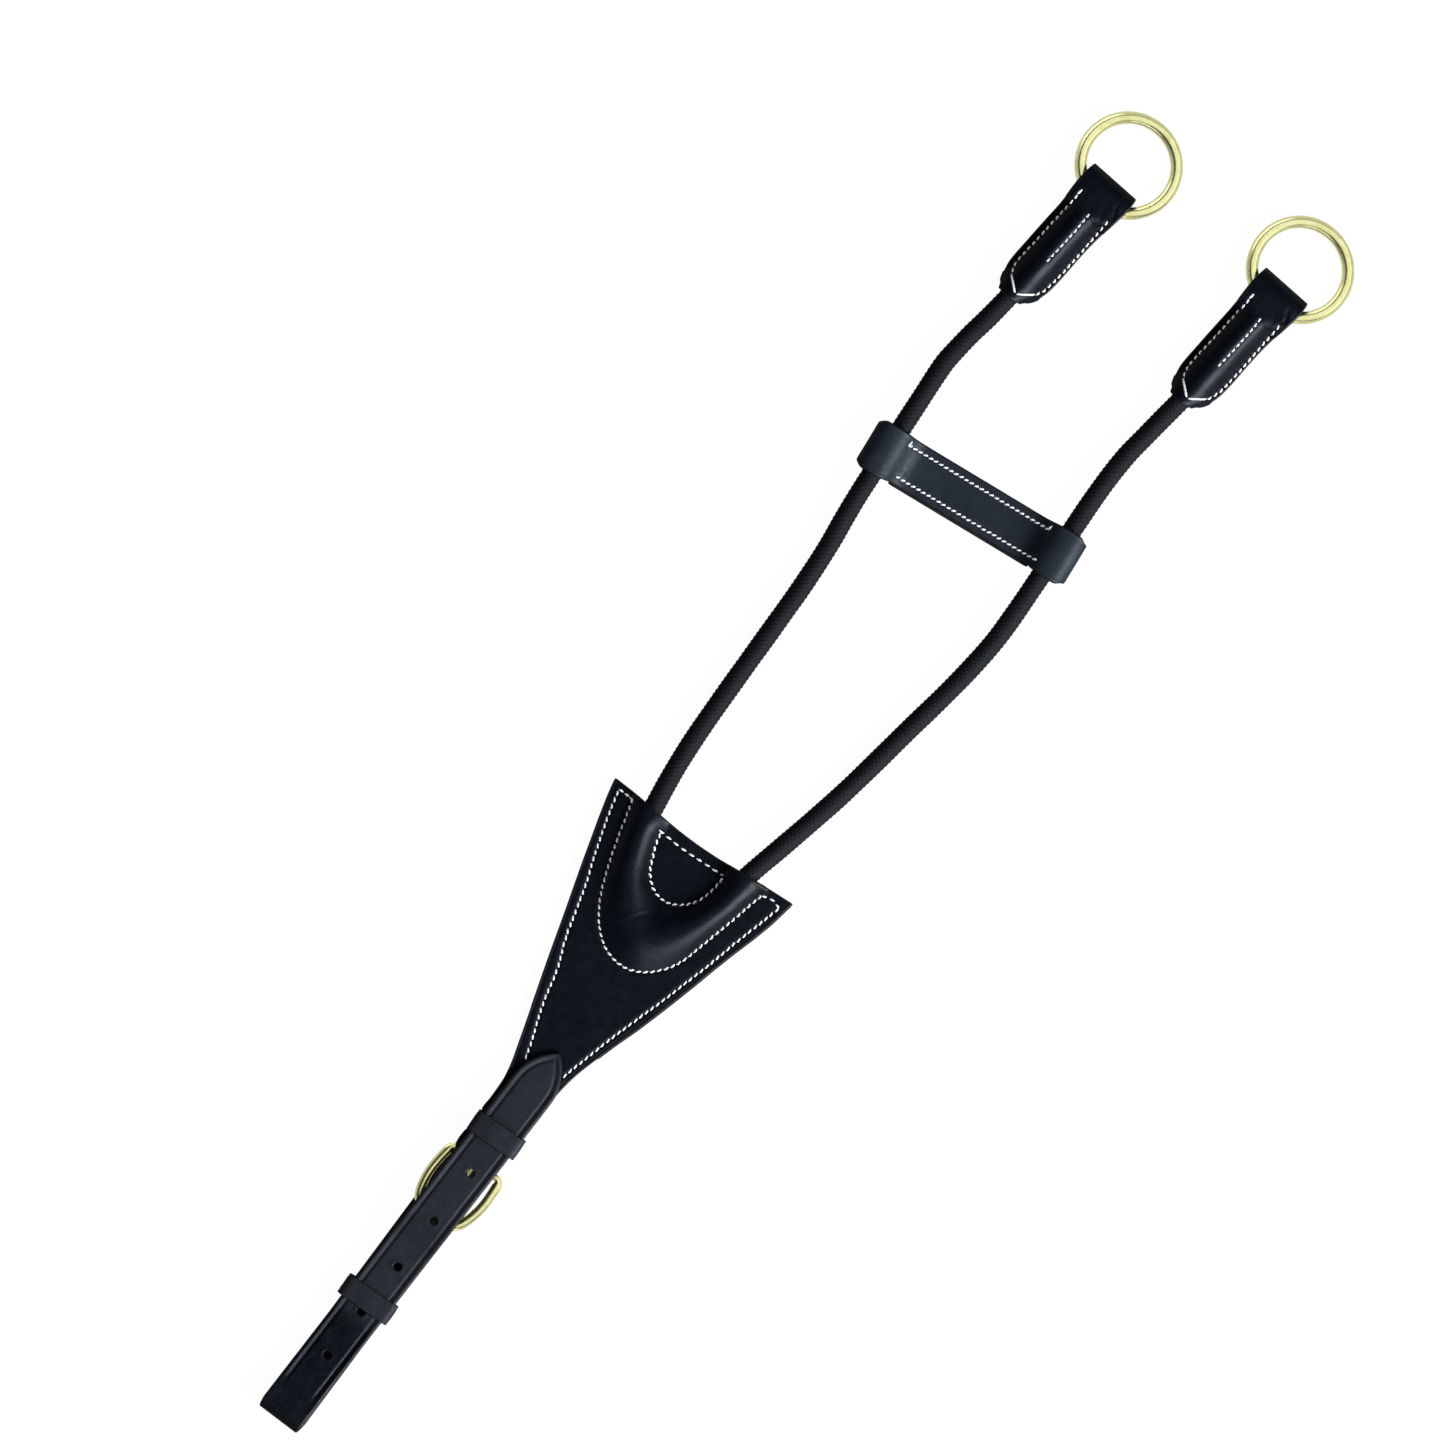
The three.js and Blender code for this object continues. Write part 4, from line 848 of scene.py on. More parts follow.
cord_z = curve1([(160, 6.75), (172, 6.75), (179, 6.35), (187, 5.4), (205, 4.4), (298, 4.4), (308, 4.9), (318, 6.4), (386, 6.4), (393, 5.7), (402, 5.3), (413, 5.3), (421, 5.9), (428, 6.4), (440, 6.4)], 2.0)
right_z = lambda y: cord_z(np.where(y > 386, np.maximum(386, y - 10.5), np.where(y < 210, y - 2, y)))
CORD_R = 4.20
BRAID_N, BRAID_P = 9, 2.1


def cord_piece(name, run, s0, fine=True):
    """One length of braided cord. run is the resampled centre line, s0 its distance along the whole cord."""
    s = s0 + np.concatenate([[0], np.cumsum(np.linalg.norm(np.diff(run, axis=0), axis=1))])

    def weave(i, a):
        ang = a[None, :] * BRAID_N
        ph = 2 * np.pi * s[i][:, None] / BRAID_P
        f1, f2 = 0.5 + 0.5 * np.cos(ang + ph), 0.5 + 0.5 * np.cos(ang - ph)
        slow = 0.035 * np.sin(s[i][:, None] / 11.0 + 1.3 * np.cos(a[None, :])) + 0.03 * np.sin(s[i][:, None] / 4.3 + 2 * a[None, :])
        return 0.35 * np.sqrt(f1 * f2) - 0.155 + slow

    v, f = sweep(run, CORD_R, 54, wobble=weave, round_end=0)
    return make(name, v, f, [BRAID])


whole = [(x, y, float(cord_z(y))) for x, y in LEFT_RUN] + [(x, y, float(right_z(np.array(y)))) for x, y in RIGHT_RUN]
run = spline(whole, 0.36)
arc = np.concatenate([[0], np.cumsum(np.linalg.norm(np.diff(run, axis=0), axis=1))])
foot = int(np.argmin(run[:, 1]))
SPLIT_L, SPLIT_R = 345.0, 356.2  # both lengths meet inside the bridge's loops
il = int(np.argmin(np.abs(run[:foot, 1] - SPLIT_L)))
ir = foot + int(np.argmin(np.abs(run[foot:, 1] - SPLIT_R)))
cord_low = cord_piece("cord_lower", run[il : ir + 1], arc[il])
cord_left = cord_piece("cord_upper_left", run[: il + 1], arc[0])
cord_right = cord_piece("cord_upper_right", run[ir:], arc[ir])

# ---- bridge --------------------------------------------------------------------------------------------------
BR_C = np.array([-10.7, 350.8])
BR_A = math.radians(7.4)
BAND_T = 1.8


def from_bridge(p):
    """Bridge coordinates (x along it, y across it) to drawing coordinates."""
    c, s = math.cos(BR_A), math.sin(BR_A)
    q = np.array(p, float)
    x = BR_C[0] + q[..., 0] * c - q[..., 1] * s
    y = BR_C[1] + q[..., 0] * s + q[..., 1] * c
    return np.stack([x, y, q[..., 2]], -1) if q.shape[-1] == 3 else np.stack([x, y], -1)


LOOP_Z, LOW = 6.4, 0.05 + BAND_T / 2
rise = lambda a: LOOP_Z + (LOOP_Z - LOW) * math.sin(a) * (1.05 if math.sin(a) > 0 else 1.0)
band = [(-34.6, LOW), (-38.2, LOW)]
for k in range(7):
    a = -math.pi / 2 - (k / 6) * math.pi
    band.append((-44.0 + 5.65 * math.cos(a), rise(a)))
band += [(-39.4, 11.8), (-36.7, 10.45), (-34.4, 7.8), (-31.8, 5.4), (-28.8, 4.1), (-25, 3.55), (-14, 3.4), (0, 3.4), (14, 3.4), (25, 3.55), (28.8, 4.1), (31.8, 5.4), (34.4, 7.8), (36.8, 10.45), (39.5, 11.8)]
for k in range(7):
    a = math.pi / 2 - (k / 6) * math.pi
    band.append((44.4 + 6.0 * math.cos(a), rise(a)))
band += [(38.6, LOW), (34.9, LOW)]
p = spline(band, 0.75)
C = 40
s = np.linspace(0, 1, C)
mid = np.zeros((len(p), C, 3))
for i, (x, z) in enumerate(p):
    wide = float(smooth(30, 42, abs(x)))
    lo, hi = lerp(-9.75, -10.9, wide) + 0.45, lerp(10.9, 11.4, wide) - 0.45
    turn = 1.7 * float(smooth(46.3, 50.2, abs(x))) ** 1.6  # drawn in where it turns round the cord
    lo, hi = lo + turn, hi - turn
    y = lerp(hi, lo, s)  # rows run left to right, so columns run down for an outward first face
    mid[i, :, 0], mid[i, :, 1] = x, y
    mid[i, :, 2] = z + (0.0 if z < 2 else 0.10 * math.cos(x * 0.09)) * (1 - (2 * s - 1) ** 2)
ux, uy = mid[..., 0], mid[..., 1]
frontside = mid[..., 2] > 2.6
ROW_TOP, ROW_LOW = 7.35, -6.55
face = np.zeros(ux.shape)
flat = frontside & (np.abs(ux) < 36)
for ry in (ROW_TOP, ROW_LOW):
    face -= 0.26 * np.exp(-(((uy - ry) / 0.7) ** 2)) * flat * smooth(36, 33.5, np.abs(ux))
edge_gap = np.minimum(11.0 - uy, uy + 10.2)
face -= 0.12 * np.exp(-(((edge_gap - 1.5) / 0.45) ** 2)) * frontside
# creases where the band is drawn in behind each loop
for x0, y0, x1, y1, dep in ((-35.9, 8.4, -34.6, 5.6, 0.20), (-33.9, -5.4, -32.4, -1.6, 0.24), (-31.0, -4.9, -30.8, -2.6, 0.14), (33.6, 8.0, 34.6, 5.6, 0.14), (30.2, -4.6, 30.6, -1.9, 0.12)):
    line = spline([(x0, y0), ((x0 + x1) / 2 + 0.35, (y0 + y1) / 2), (x1, y1)], 0.3)
    face -= dep * np.exp(-((near(ux, uy, line) / 0.6) ** 2)) * frontside
    face += 0.5 * dep * np.exp(-((near(ux, uy, line + np.array([1.1, 0.1])) / 0.8) ** 2)) * frontside
face += 0.05 * wave(ux, uy, 11, 12)
band_sheet = Sheet(from_bridge(mid), BAND_T, edge=0.6, face=face)
band_tree = band_sheet.tree(0)
band_ob = band_sheet.build("bridge_band_leather", BRIDGE, EDGE, FLESH)
# second layer behind the flat part
bx = np.linspace(-33.45, 33.75, 80)
by = np.linspace(-10.35, 9.25, 26)
gx, gy = np.meshgrid(bx, by)
g = np.stack([gx, gy, 1.15 + 0.06 * wave(gx, gy, 4, 18)], -1)[::-1]
strip = Sheet(from_bridge(g), 1.9, edge=0.65, face=None)
strip_tree = strip.tree(0)
strip_ob = strip.build("bridge_back_leather", BACK, EDGE, BACK)
bridge_thread = Bag()
TOPLINE = [tuple(from_bridge((x, ROW_TOP))) for x in np.linspace(-33.8, 33.4, 9)]
LOWLINE = [tuple(from_bridge((x, ROW_LOW))) for x in np.linspace(-31.6, 35.2, 9)]
stitch_line(bridge_thread, band_tree, TOPLINE, 2.5, 2.0, THREAD_R, 22)
stitch_line(bridge_thread, band_tree, LOWLINE, 2.5, 2.0, THREAD_R, 22)
one_stitch(bridge_thread, band_tree, from_bridge((-34.6, 7.2)), from_bridge((-34.2, 9.4)), THREAD_R)
one_stitch(bridge_thread, band_tree, from_bridge((34.0, 7.4)), from_bridge((34.4, 9.2)), THREAD_R)
under = BVHTree.FromPolygons([Vector(v) for v in strip.verts], [list(map(int, x)) for x in strip.faces[: 2 * strip.nq]])
for a, b, ry in ((-31.8, 32.0, ROW_TOP), (-31.6, 32.2, ROW_LOW)):
    stitch_line(bridge_thread, under, [tuple(from_bridge((x, ry))) for x in np.linspace(a, b, 9)], 2.45, 1.8, THREAD_R * 0.9, -14, below=True)
bridge_thread_ob = bridge_thread.build("bridge_stitching", THREAD)

# ---- end tabs ---------------------------------------------------------------------------------------------------
tab_mid = curve1([(427.5, -52.2), (430, -51.7), (435, -50.8), (440, -50.6), (450, -49.95), (458, -49.6), (466, -49.1), (474, -48.3), (482, -47.75), (492.5, -47.0)], 2.0)
tab_half = curve1([(427.0, 4.9), (429.0, 5.8), (430.5, 6.6), (432.5, 7.9), (435, 9.15), (438, 10.1), (441, 10.65), (446, 10.85), (460, 10.8), (468, 10.85), (474, 11.1), (478, 11.6), (482, 12.05), (486, 12.3), (489, 12.3), (492.0, 12.1), (493.5, 11.9)], 1.2)
TAB_T, TAB_TOP = 2.2, 12.85
TAB_LOW, FOLD_C = 428.2, 487.35
STEP = np.array([83.6, 10.5, 0.0])
L_ROW = [(-55.9, 481.5), (-55.9, 478), (-56.4, 470), (-57.0, 461.8), (-57.5, 454), (-58.2, 446.3), (-58.3, 443.8), (-58.2, 441), (-57.5, 438.2)]
M_ROW = [(-47.1, 475.5), (-47.3, 468), (-47.9, 459), (-48.6, 450.5)]
R_ROW = [(-39.0, 477.8), (-39.5, 470), (-39.9, 460), (-40.5, 450), (-41.0, 445.5), (-42.0, 439.8), (-43.2, 437.1)]
V_ROWS = [((-57.0, 436.5), (-51.1, 431.2)), ((-49.9, 431.2), (-43.9, 435.9))]
fold_r = (TAB_TOP - TAB_T / 2) / 2


def tab_rows():
    C = 58
    s = np.linspace(-1, 1, C)
    rows, kind = [], []

    def dome(y, dx, half):
        w = lerp(np.clip(half + 0.35, 6.9, 8.75), 62.0, smooth(474, 483, y))
        q = np.clip(np.abs(dx) / w, 0, 1)
        return lerp(TAB_T / 2 + 2.4, TAB_TOP, (1 - q**2.25) ** lerp(0.62, 1.2, smooth(430, 441, y)))

    tops = np.concatenate([np.arange(TAB_LOW, 486.9, 0.9)])
    for y in tops:
        half = float(tab_half(y)) - 0.5
        dx = s * half
        yy = np.full(C, y)
        # the lower end is cut to a shallow point and its corners are rounded off
        yy = yy + 0.9 * (np.abs(s) ** 2.0) * smooth(434, 428, y)
        rows.append(np.stack([tab_mid(y) + dx, yy, dome(y, dx, half)], 1))
        kind.append(0)
    for k in range(1, 24):
        a = math.pi / 2 - (k / 24) * math.pi
        y = FOLD_C + fold_r * math.cos(a)
        half = float(tab_half(min(y, 493))) - 0.5 - 0.25 * math.cos(a)
        z = TAB_T / 2 + fold_r + fold_r * math.sin(a)
        flatten = dome(FOLD_C, s * half, half) - TAB_TOP  # carries the dome's slight fall into the fold
        rows.append(np.stack([tab_mid(y) + s * half, np.full(C, y) - 0.055 * s * half * math.cos(a), z + flatten * max(0, math.sin(a))], 1))
        kind.append(1)
    for y in np.arange(486.9, TAB_LOW, -1.2):
        half = float(tab_half(y)) - 0.7 - 0.55 * float(smooth(477, 481, y))  # room for the ring to swing under
        rows.append(np.stack([tab_mid(y) + s * half, np.full(C, y) + 0.9 * (np.abs(s) ** 2.0) * smooth(434, 428, y), np.full(C, TAB_T / 2)], 1))
        kind.append(2)
    return np.array(rows), np.array(kind)


tab_obs = {}
for side, step in (("left", np.zeros(3)), ("right", STEP)):
    mid, kind = tab_rows()
    X, Y = mid[..., 0], mid[..., 1]
    top = (kind == 0)[:, None]
    seedy = 31 if side == "left" else 77
    face = np.where(top, row_dip(X, Y, [L_ROW, M_ROW, R_ROW], 0.26, 0.8), 0.0)
    face += np.where(top, 0.06 * wave(X, Y * 0.6, seedy, 15) * smooth(430, 445, Y), 0.0)
    # folds of the leather where the dome flattens towards the ring
    for x0, y0, x1, y1, dep in ((-39.9, 485.2, -38.3, 481.6, 0.34), (-43.6, 482.0, -42.3, 477.0, 0.07), (-54.0, 483.0, -52.8, 478.0, 0.06)):
        line = spline([(x0, y0), ((x0 + x1) / 2 + 0.4, (y0 + y1) / 2), (x1, y1)], 0.3)
        face -= np.where(top, dep * np.exp(-((near(X, Y, line) / 0.75) ** 2)), 0)
        face += np.where(top, 0.6 * dep * np.exp(-((near(X, Y, line + np.array([1.5, 0.2])) / 0.9) ** 2)), 0)
    # thread pulls the centre row down and the two long stitches pinch the lower end
    for a, b in V_ROWS:
        face -= np.where(top, 0.30 * np.exp(-((near(X, Y, np.linspace(a, b, 20)) / 0.8) ** 2)), 0)
    eg = np.abs(np.abs(X - X.mean(1, keepdims=True)) - (np.abs(X - X.mean(1, keepdims=True)).max(1, keepdims=True) - 1.0))
    face -= np.where(top, 0.12 * np.exp(-((eg / 0.4) ** 2)), 0)
    und = np.where((kind == 2)[:, None], row_dip(X, Y, [L_ROW, M_ROW, R_ROW], 0.26, 0.8), 0.0)
    sh = Sheet(mid + step, TAB_T, edge=0.6, face=face + und)
    # first face: columns left to right and rows upwards on top, so it looks out all the way round
    tab_obs[side] = sh.build(side + "_tab_leather", YOKE, EDGE, FLESH)
    tree = sh.tree(0)
    bag = Bag()
    mv = lambda line: [(x + step[0], y + step[1]) for x, y in line]
    stitch_line(bag, tree, mv(L_ROW), 2.95, 1.95, THREAD_R, 10, skip=(0,))
    one_stitch(bag, tree, (-55.8 + step[0], 482.6 + step[1]), (-56.1 + step[0], 479.9 + step[1]), THREAD_R * 1.12)
    stitch_line(bag, tree, mv(M_ROW), 2.78, 1.75, THREAD_R, 6)
    stitch_line(bag, tree, mv(R_ROW), 2.9, 2.0, THREAD_R, 14)
    for (a, b), w in zip(V_ROWS, (1.0, 1.0)):
        aa, bb = np.array(a) + step[:2], np.array(b) + step[:2]
        pts = []
        for t in np.linspace(0, 1, 26):
            c, n = surface(tree, *(lerp(aa, bb, t)))
            e = abs(2 * t - 1)
            pts.append(c + n * THREAD_R * (0.5 - 1.7 * e**9))
        pts = np.array(pts)
        tt = np.linspace(0, 1, 26)
        v, f = sweep(pts, THREAD_R * 1.05, 10, wobble=lambda i, ang: THREAD_R * 0.10 * np.cos(2 * (ang[None, :] - 2 * np.pi * 2.4 * tt[i][:, None])))
        bag.add(v, f)
    for line in (L_ROW, M_ROW, R_ROW):
        stitch_line(bag, tree, mv(line), 2.9, 1.8, THREAD_R * 0.9, -6, below=True)
    tab_obs[side + "_thread"] = bag.build(side + "_tab_stitching", THREAD)

# ---- rings ---------------------------------------------------------------------------------------------------------
RING_R, RING_WIRE, DROOP = 20.3, 2.65, math.radians(-6.45)
RING = np.array([-46.7, 503.1])
SWING = np.array([-46.9, 484.9, 7.0])
ring_obs = {}
for side, step in (("left", np.zeros(3)), ("right", STEP)):
    n = 150
    a = 2 * np.pi * np.arange(n) / n
    # a hair out of round, as a cast and tumbled ring is
    rr = RING_R + 0.06 * np.cos(2 * a + 0.7) + 0.03 * np.cos(3 * a)
    loc = np.stack([RING[0] - SWING[0] + rr * np.cos(a), RING[1] - SWING[1] + rr * np.sin(a), 0 * a], 1)
    c, s_ = math.cos(DROOP), math.sin(DROOP)
    loc = np.stack([loc[:, 0], loc[:, 1] * c - loc[:, 2] * s_, loc[:, 1] * s_ + loc[:, 2] * c], 1)
    path = loc + SWING + step
    seam = lambda i, ang: 0.05 * np.exp(-(((a[i] - 5.2) / 0.05) ** 2))[:, None] - 0.02 + 0.012 * np.cos(5 * ang)[None, :]
    v, f = sweep(path, RING_WIRE, 32, closed=True, wobble=seam, up=(0, -s_, c))
    ring_obs[side] = make(side + "_ring_brass", v, f, [BRASS])

# ---- buckle ---------------------------------------------------------------------------------------------------------


def from_buckle(p, drop=0.0):
    p = np.asarray(p, float)
    y = p[..., 1] * math.cos(drop) - p[..., 2] * math.sin(drop)
    z = p[..., 1] * math.sin(drop) + p[..., 2] * math.cos(drop)
    x = p[..., 0]
    c, s = math.cos(TILT), math.sin(TILT)
    return np.stack([BUCKLE_X + x * c - y * s, BAR_Y + x * s + y * c, BAR_Z + z], -1)


side = [(11.3, 0), (12.35, -0.75), (12.8, -2.6), (13.25, -7), (13.45, -11), (13.35, -14.5), (12.8, -18.3), (12.0, -21.6), (11.0, -24.2), (9.3, -26.5), (7, -27.55), (3.5, -27.1)]
outline = side + [(0, -26.85)] + [(-x, y) for x, y in side[::-1]] + [(-7, 0), (0, 0), (7, 0)]
path = spline([(x, y, 0.0) for x, y in outline], 0.55, closed=True)
# the arms are wider than they are thick; the bar and the middle of the round end are round
wide = 1 + 0.31 * smooth(0.3, 3, -path[:, 1]) * smooth(4, 9.5, np.abs(path[:, 0]))
wire = 1.6 - 0.08 * smooth(-2.5, 0, path[:, 1])
v, f = sweep(path, wire, 28, closed=True)
# widen each section in its own plane, and soften its top into two faint flats
n_ang = 28
ring_c = np.repeat(path, n_ang, 0)
off = v - ring_c
ang_k = np.tile(2 * np.pi * np.arange(n_ang) / n_ang, len(path))
flat_k = 1 - 0.05 * np.abs(np.sin(ang_k)) ** 3
off[:, :2] *= np.repeat(wide, n_ang)[:, None]
v = ring_c + off * flat_k[:, None]
buckle_ob = make("buckle_frame_brass", from_buckle(v, DROP), f, [BRASS])

prong = spline([(0, 0.4, 2.25), (0, -3.2, 2.25), (0, -10, 2.05), (0, -18, 1.85), (0, -24.5, 1.72), (0, -27.9, 1.5)], 0.5)
tt = np.linspace(0, 1, len(prong))
pr = 1.0 * (1 - 0.30 * tt) * np.minimum(1, 0.55 + 6 * (1 - tt))
v, f = sweep(prong, pr, 16, round_end=0.4)
bag = Bag()
bag.add(v, f)
# eye rolled round the bar
ex = np.linspace(-1.7, 1.7, 9)
ring_v, ring_f = [], []
seg = 40
prof = [(1.88, -1.62), (1.80, -1.45), (1.80, 1.45), (1.88, 1.62), (2.2, 1.72), (2.65, 1.66), (2.88, 1.35), (2.9, 0), (2.88, -1.35), (2.65, -1.66), (2.2, -1.72)]
for k in range(seg):
    a = 2 * math.pi * k / seg
    for r_, x_ in prof:
        ring_v.append((x_, r_ * math.cos(a), r_ * math.sin(a)))
m = len(prof)
for k in range(seg):
    k2 = (k + 1) % seg
    for i in range(m):
        j = (i + 1) % m
        ring_f.append((k * m + i, k * m + j, k2 * m + j, k2 * m + i))
bag.add(ring_v, ring_f)
vv = from_buckle(np.vstack(bag.v) + np.array([-0.15, 0, 0]))
tongue_ob = make("buckle_tongue_brass", vv, bag.f, [BRASS])

# ---- keepers --------------------------------------------------------------------------------------------------------
def keeper(name, cx, cy, h_out, z_top, tilt, t=1.2, width=9.6, bulge_l=0.0, bulge_r=0.0, seed=1, r=2.3):
    """A band round the strap. Its ends meet under the strap, where they are stitched."""
    hx, z0, z1 = h_out - t / 2, 0.05 + t / 2, z_top - t / 2
    pts = [(-0.3, z0), (-hx * 0.5, z0)]
    pts += [(-hx + r + r * math.cos(a), z0 + r + r * math.sin(a)) for a in np.linspace(-math.pi / 2, -math.pi, 5)]
    pts += [(-hx - bulge_l, (z0 + z1) / 2)]
    pts += [(-hx + r + r * math.cos(a), z1 - r + r * math.sin(a)) for a in np.linspace(math.pi, math.pi / 2, 5)]
    pts += [(-hx * 0.42, z1 + 0.22), (0, z1 + 0.34), (hx * 0.42, z1 + 0.18)]
    pts += [(hx - r + r * math.cos(a), z1 - r + r * math.sin(a)) for a in np.linspace(math.pi / 2, 0, 5)]
    pts += [(hx + bulge_r, (z0 + z1) / 2)]
    pts += [(hx - r + r * math.cos(a), z0 + r + r * math.sin(a)) for a in np.linspace(0, -math.pi / 2, 5)]
    pts += [(hx * 0.5, z0), (0.3, z0)]
    p = spline(pts, 0.55)
    C = 26
    w = np.linspace(1, -1, C) * (width / 2 - 0.45)
    mid = np.zeros((len(p), C, 3))
    for i, (x, z) in enumerate(p):
        crown = 0.16 * (1 - (w / (width / 2)) ** 2)
        up = 1.0 if z > (z0 + z1) / 2 else 0.0
        mid[i, :, 0], mid[i, :, 1], mid[i, :, 2] = x, w, z + crown * up
    d = width / 2 - np.abs(mid[..., 1])
    face = -0.26 * np.exp(-(((d - 1.15) / 0.30) ** 2)) + 0.05 * wave(mid[..., 0], mid[..., 1], seed, 7)
    face *= np.where(mid[..., 2] < z0 + 0.5, 0.35, 1.0)
    c, s = math.cos(math.radians(tilt)), math.sin(math.radians(tilt))
    X = cx + mid[..., 0] * c - mid[..., 1] * s
    Y = cy + mid[..., 0] * s + mid[..., 1] * c
    sh = Sheet(np.stack([X, Y, mid[..., 2]], -1), t, edge=0.42, face=face)
    ob = sh.build(name + "_leather", STRAP, EDGE, FLESH)
    tree = sh.tree(0)
    bag = Bag()
    for k in (-1.5, -0.5, 0.5, 1.5):
        y = k * width / 5
        a = np.array([-1.9, y]), np.array([1.9, y])
        q = [(cx + u[0] * c - u[1] * s, cy + u[0] * s + u[1] * c) for u in a]
        pts = []
        for t_ in np.linspace(0, 1, 16):
            h, n = surface(tree, *lerp(np.array(q[0]), np.array(q[1]), t_), True)
            pts.append(h + n * 0.32 * (0.35 - 1.5 * abs(2 * t_ - 1) ** 5))
        v, f = sweep(np.array(pts), 0.32, 8)
        bag.add(v, f)
    th = bag.build(name + "_seam_thread", THREAD_DARK)
    return ob, th


m, t, b, mm = material("black_thread")
t.links.new(colour(t, noise_node(t, mm, 3.0, 3), [(0.3, (0.012, 0.012, 0.013)), (0.7, (0.03, 0.03, 0.032))]), b.inputs["Base Color"])
b.inputs["Roughness"].default_value = 0.6
THREAD_DARK = m
fixed_ob, fixed_th = keeper("fixed_keeper", -1.5, 19.3, 11.95, 14.1, 3.4, seed=5)
run_ob, run_th = keeper("running_keeper", -0.6, -68.4, 12.3, 9.6, 3.2, bulge_l=0.35, bulge_r=0.15, seed=9, r=2.1)

# ---- what rides on what ---------------------------------------------------------------------------------------------
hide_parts("yoke_front_panel", "front_panel_chape")
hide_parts("yoke_back_panel", "strap")
for ob in (front_ob, strap_ob, thread_ob):
    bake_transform(ob)
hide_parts("cord_loop_sleeve", "cord_loop_rubber_core", "left_cord_line_sleeve", "left_cord_line_rubber_core", "right_cord_line_sleeve", "right_cord_line_rubber_core")
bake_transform(cord_low)
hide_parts("left_cord_end_sleeve", "left_cord_end_rubber_core")
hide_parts("right_cord_end_sleeve", "right_cord_end_rubber_core")
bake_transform(cord_left)
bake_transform(cord_right)
for ob in (band_ob, strip_ob, bridge_thread_ob):
    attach(ob, "bridge")
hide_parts("bridge_band")
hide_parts("bridge_back_strip")
for side in ("left", "right"):
    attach(tab_obs[side], side + "_end")
    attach(tab_obs[side + "_thread"], side + "_end")
    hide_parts(side + "_end_tab")
    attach(ring_obs[side], side + "_ring")
    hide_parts(side + "_ring")
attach(buckle_ob, "buckle")
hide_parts("buckle_frame")
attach(tongue_ob, "tongue")
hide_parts("buckle_tongue")
for ob in (fixed_ob, fixed_th):
    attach(ob, "strap")
for ob in (run_ob, run_th):
    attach(ob, "running_keeper")
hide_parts("fixed_keeper")
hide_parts("running_keeper")

# ---- floor, light, camera ---------------------------------------------------------------------------------------------
me = bpy.data.meshes.new("floor")
F = 5.0
me.from_pydata([(-F, -F, -0.0005), (F, -F, -0.0005), (F, F, -0.0005), (-F, F, -0.0005)], [], [(0, 1, 2, 3)])
floor = bpy.data.objects.new("floor", me)
bpy.context.scene.collection.objects.link(floor)
fm = bpy.data.materials.new("pale_floor")
fm.use_nodes = True
t = fm.node_tree
t.nodes.clear()
out = t.nodes.new("ShaderNodeOutputMaterial")
d = t.nodes.new("ShaderNodeBsdfPrincipled")
d.inputs["Base Color"].default_value = (0.075, 0.075, 0.075, 1)
d.inputs["Roughness"].default_value = 0.9
d.inputs["Specular IOR Level"].default_value = 0.1
d.inputs["Emission Color"].default_value = (1, 1, 1, 1)
# bright to the camera, and dimmer as a light on the underside of things
lp = t.nodes.new("ShaderNodeLightPath")
seen = maths(t, "MULTIPLY", lp.outputs["Is Camera Ray"], 0.655)
t.links.new(maths(t, "SUBTRACT", maths(t, "ADD", seen, 0.31), maths(t, "MULTIPLY", lp.outputs["Is Glossy Ray"], 0.26)), d.inputs["Emission Strength"])
tr = t.nodes.new("ShaderNodeBsdfTransparent")
mx = t.nodes.new("ShaderNodeMixShader")
geo = t.nodes.new("ShaderNodeNewGeometry")
t.links.new(geo.outputs["Backfacing"], mx.inputs[0])
t.links.new(d.outputs[0], mx.inputs[1])
t.links.new(tr.outputs[0], mx.inputs[2])
t.links.new(mx.outputs[0], out.inputs["Surface"])
me.materials.append(fm)
floor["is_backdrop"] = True

world = bpy.data.worlds.new("studio")
bpy.context.scene.world = world
world.use_nodes = True
wt = world.node_tree
wt.nodes.clear()
wo = wt.nodes.new("ShaderNodeOutputWorld")
bg = wt.nodes.new("ShaderNodeBackground")
tc = wt.nodes.new("ShaderNodeTexCoord")
sep = wt.nodes.new("ShaderNodeSeparateXYZ")
rp = wt.nodes.new("ShaderNodeValToRGB")
wt.links.new(tc.outputs["Generated"], sep.inputs[0])
mr = wt.nodes.new("ShaderNodeMapRange")
mr.inputs["From Min"].default_value = -1
wt.links.new(sep.outputs["Z"], mr.inputs["Value"])
wt.links.new(mr.outputs["Result"], rp.inputs["Fac"])
e = rp.color_ramp.elements
e[0].position, e[0].color = 0.0, (0.20, 0.21, 0.22, 1)
e[1].position, e[1].color = 1.0, (0.008, 0.011, 0.016, 1)
k = e.new(0.54)
k.color = (0.09, 0.10, 0.115, 1)
k = e.new(0.68)
k.color = (0.030, 0.035, 0.044, 1)
wt.links.new(rp.outputs["Color"], bg.inputs["Color"])
bg.inputs["Strength"].default_value = 1.0
# the camera itself sees a plain pale backdrop past the floor's edge and from below
pale = wt.nodes.new("ShaderNodeBackground")
pale.inputs["Color"].default_value = (0.93, 0.93, 0.94, 1)
wl, wm = wt.nodes.new("ShaderNodeLightPath"), wt.nodes.new("ShaderNodeMixShader")
wt.links.new(wl.outputs["Is Camera Ray"], wm.inputs[0])
wt.links.new(bg.outputs[0], wm.inputs[1])
wt.links.new(pale.outputs[0], wm.inputs[2])
wt.links.new(wm.outputs[0], wo.inputs["Surface"])


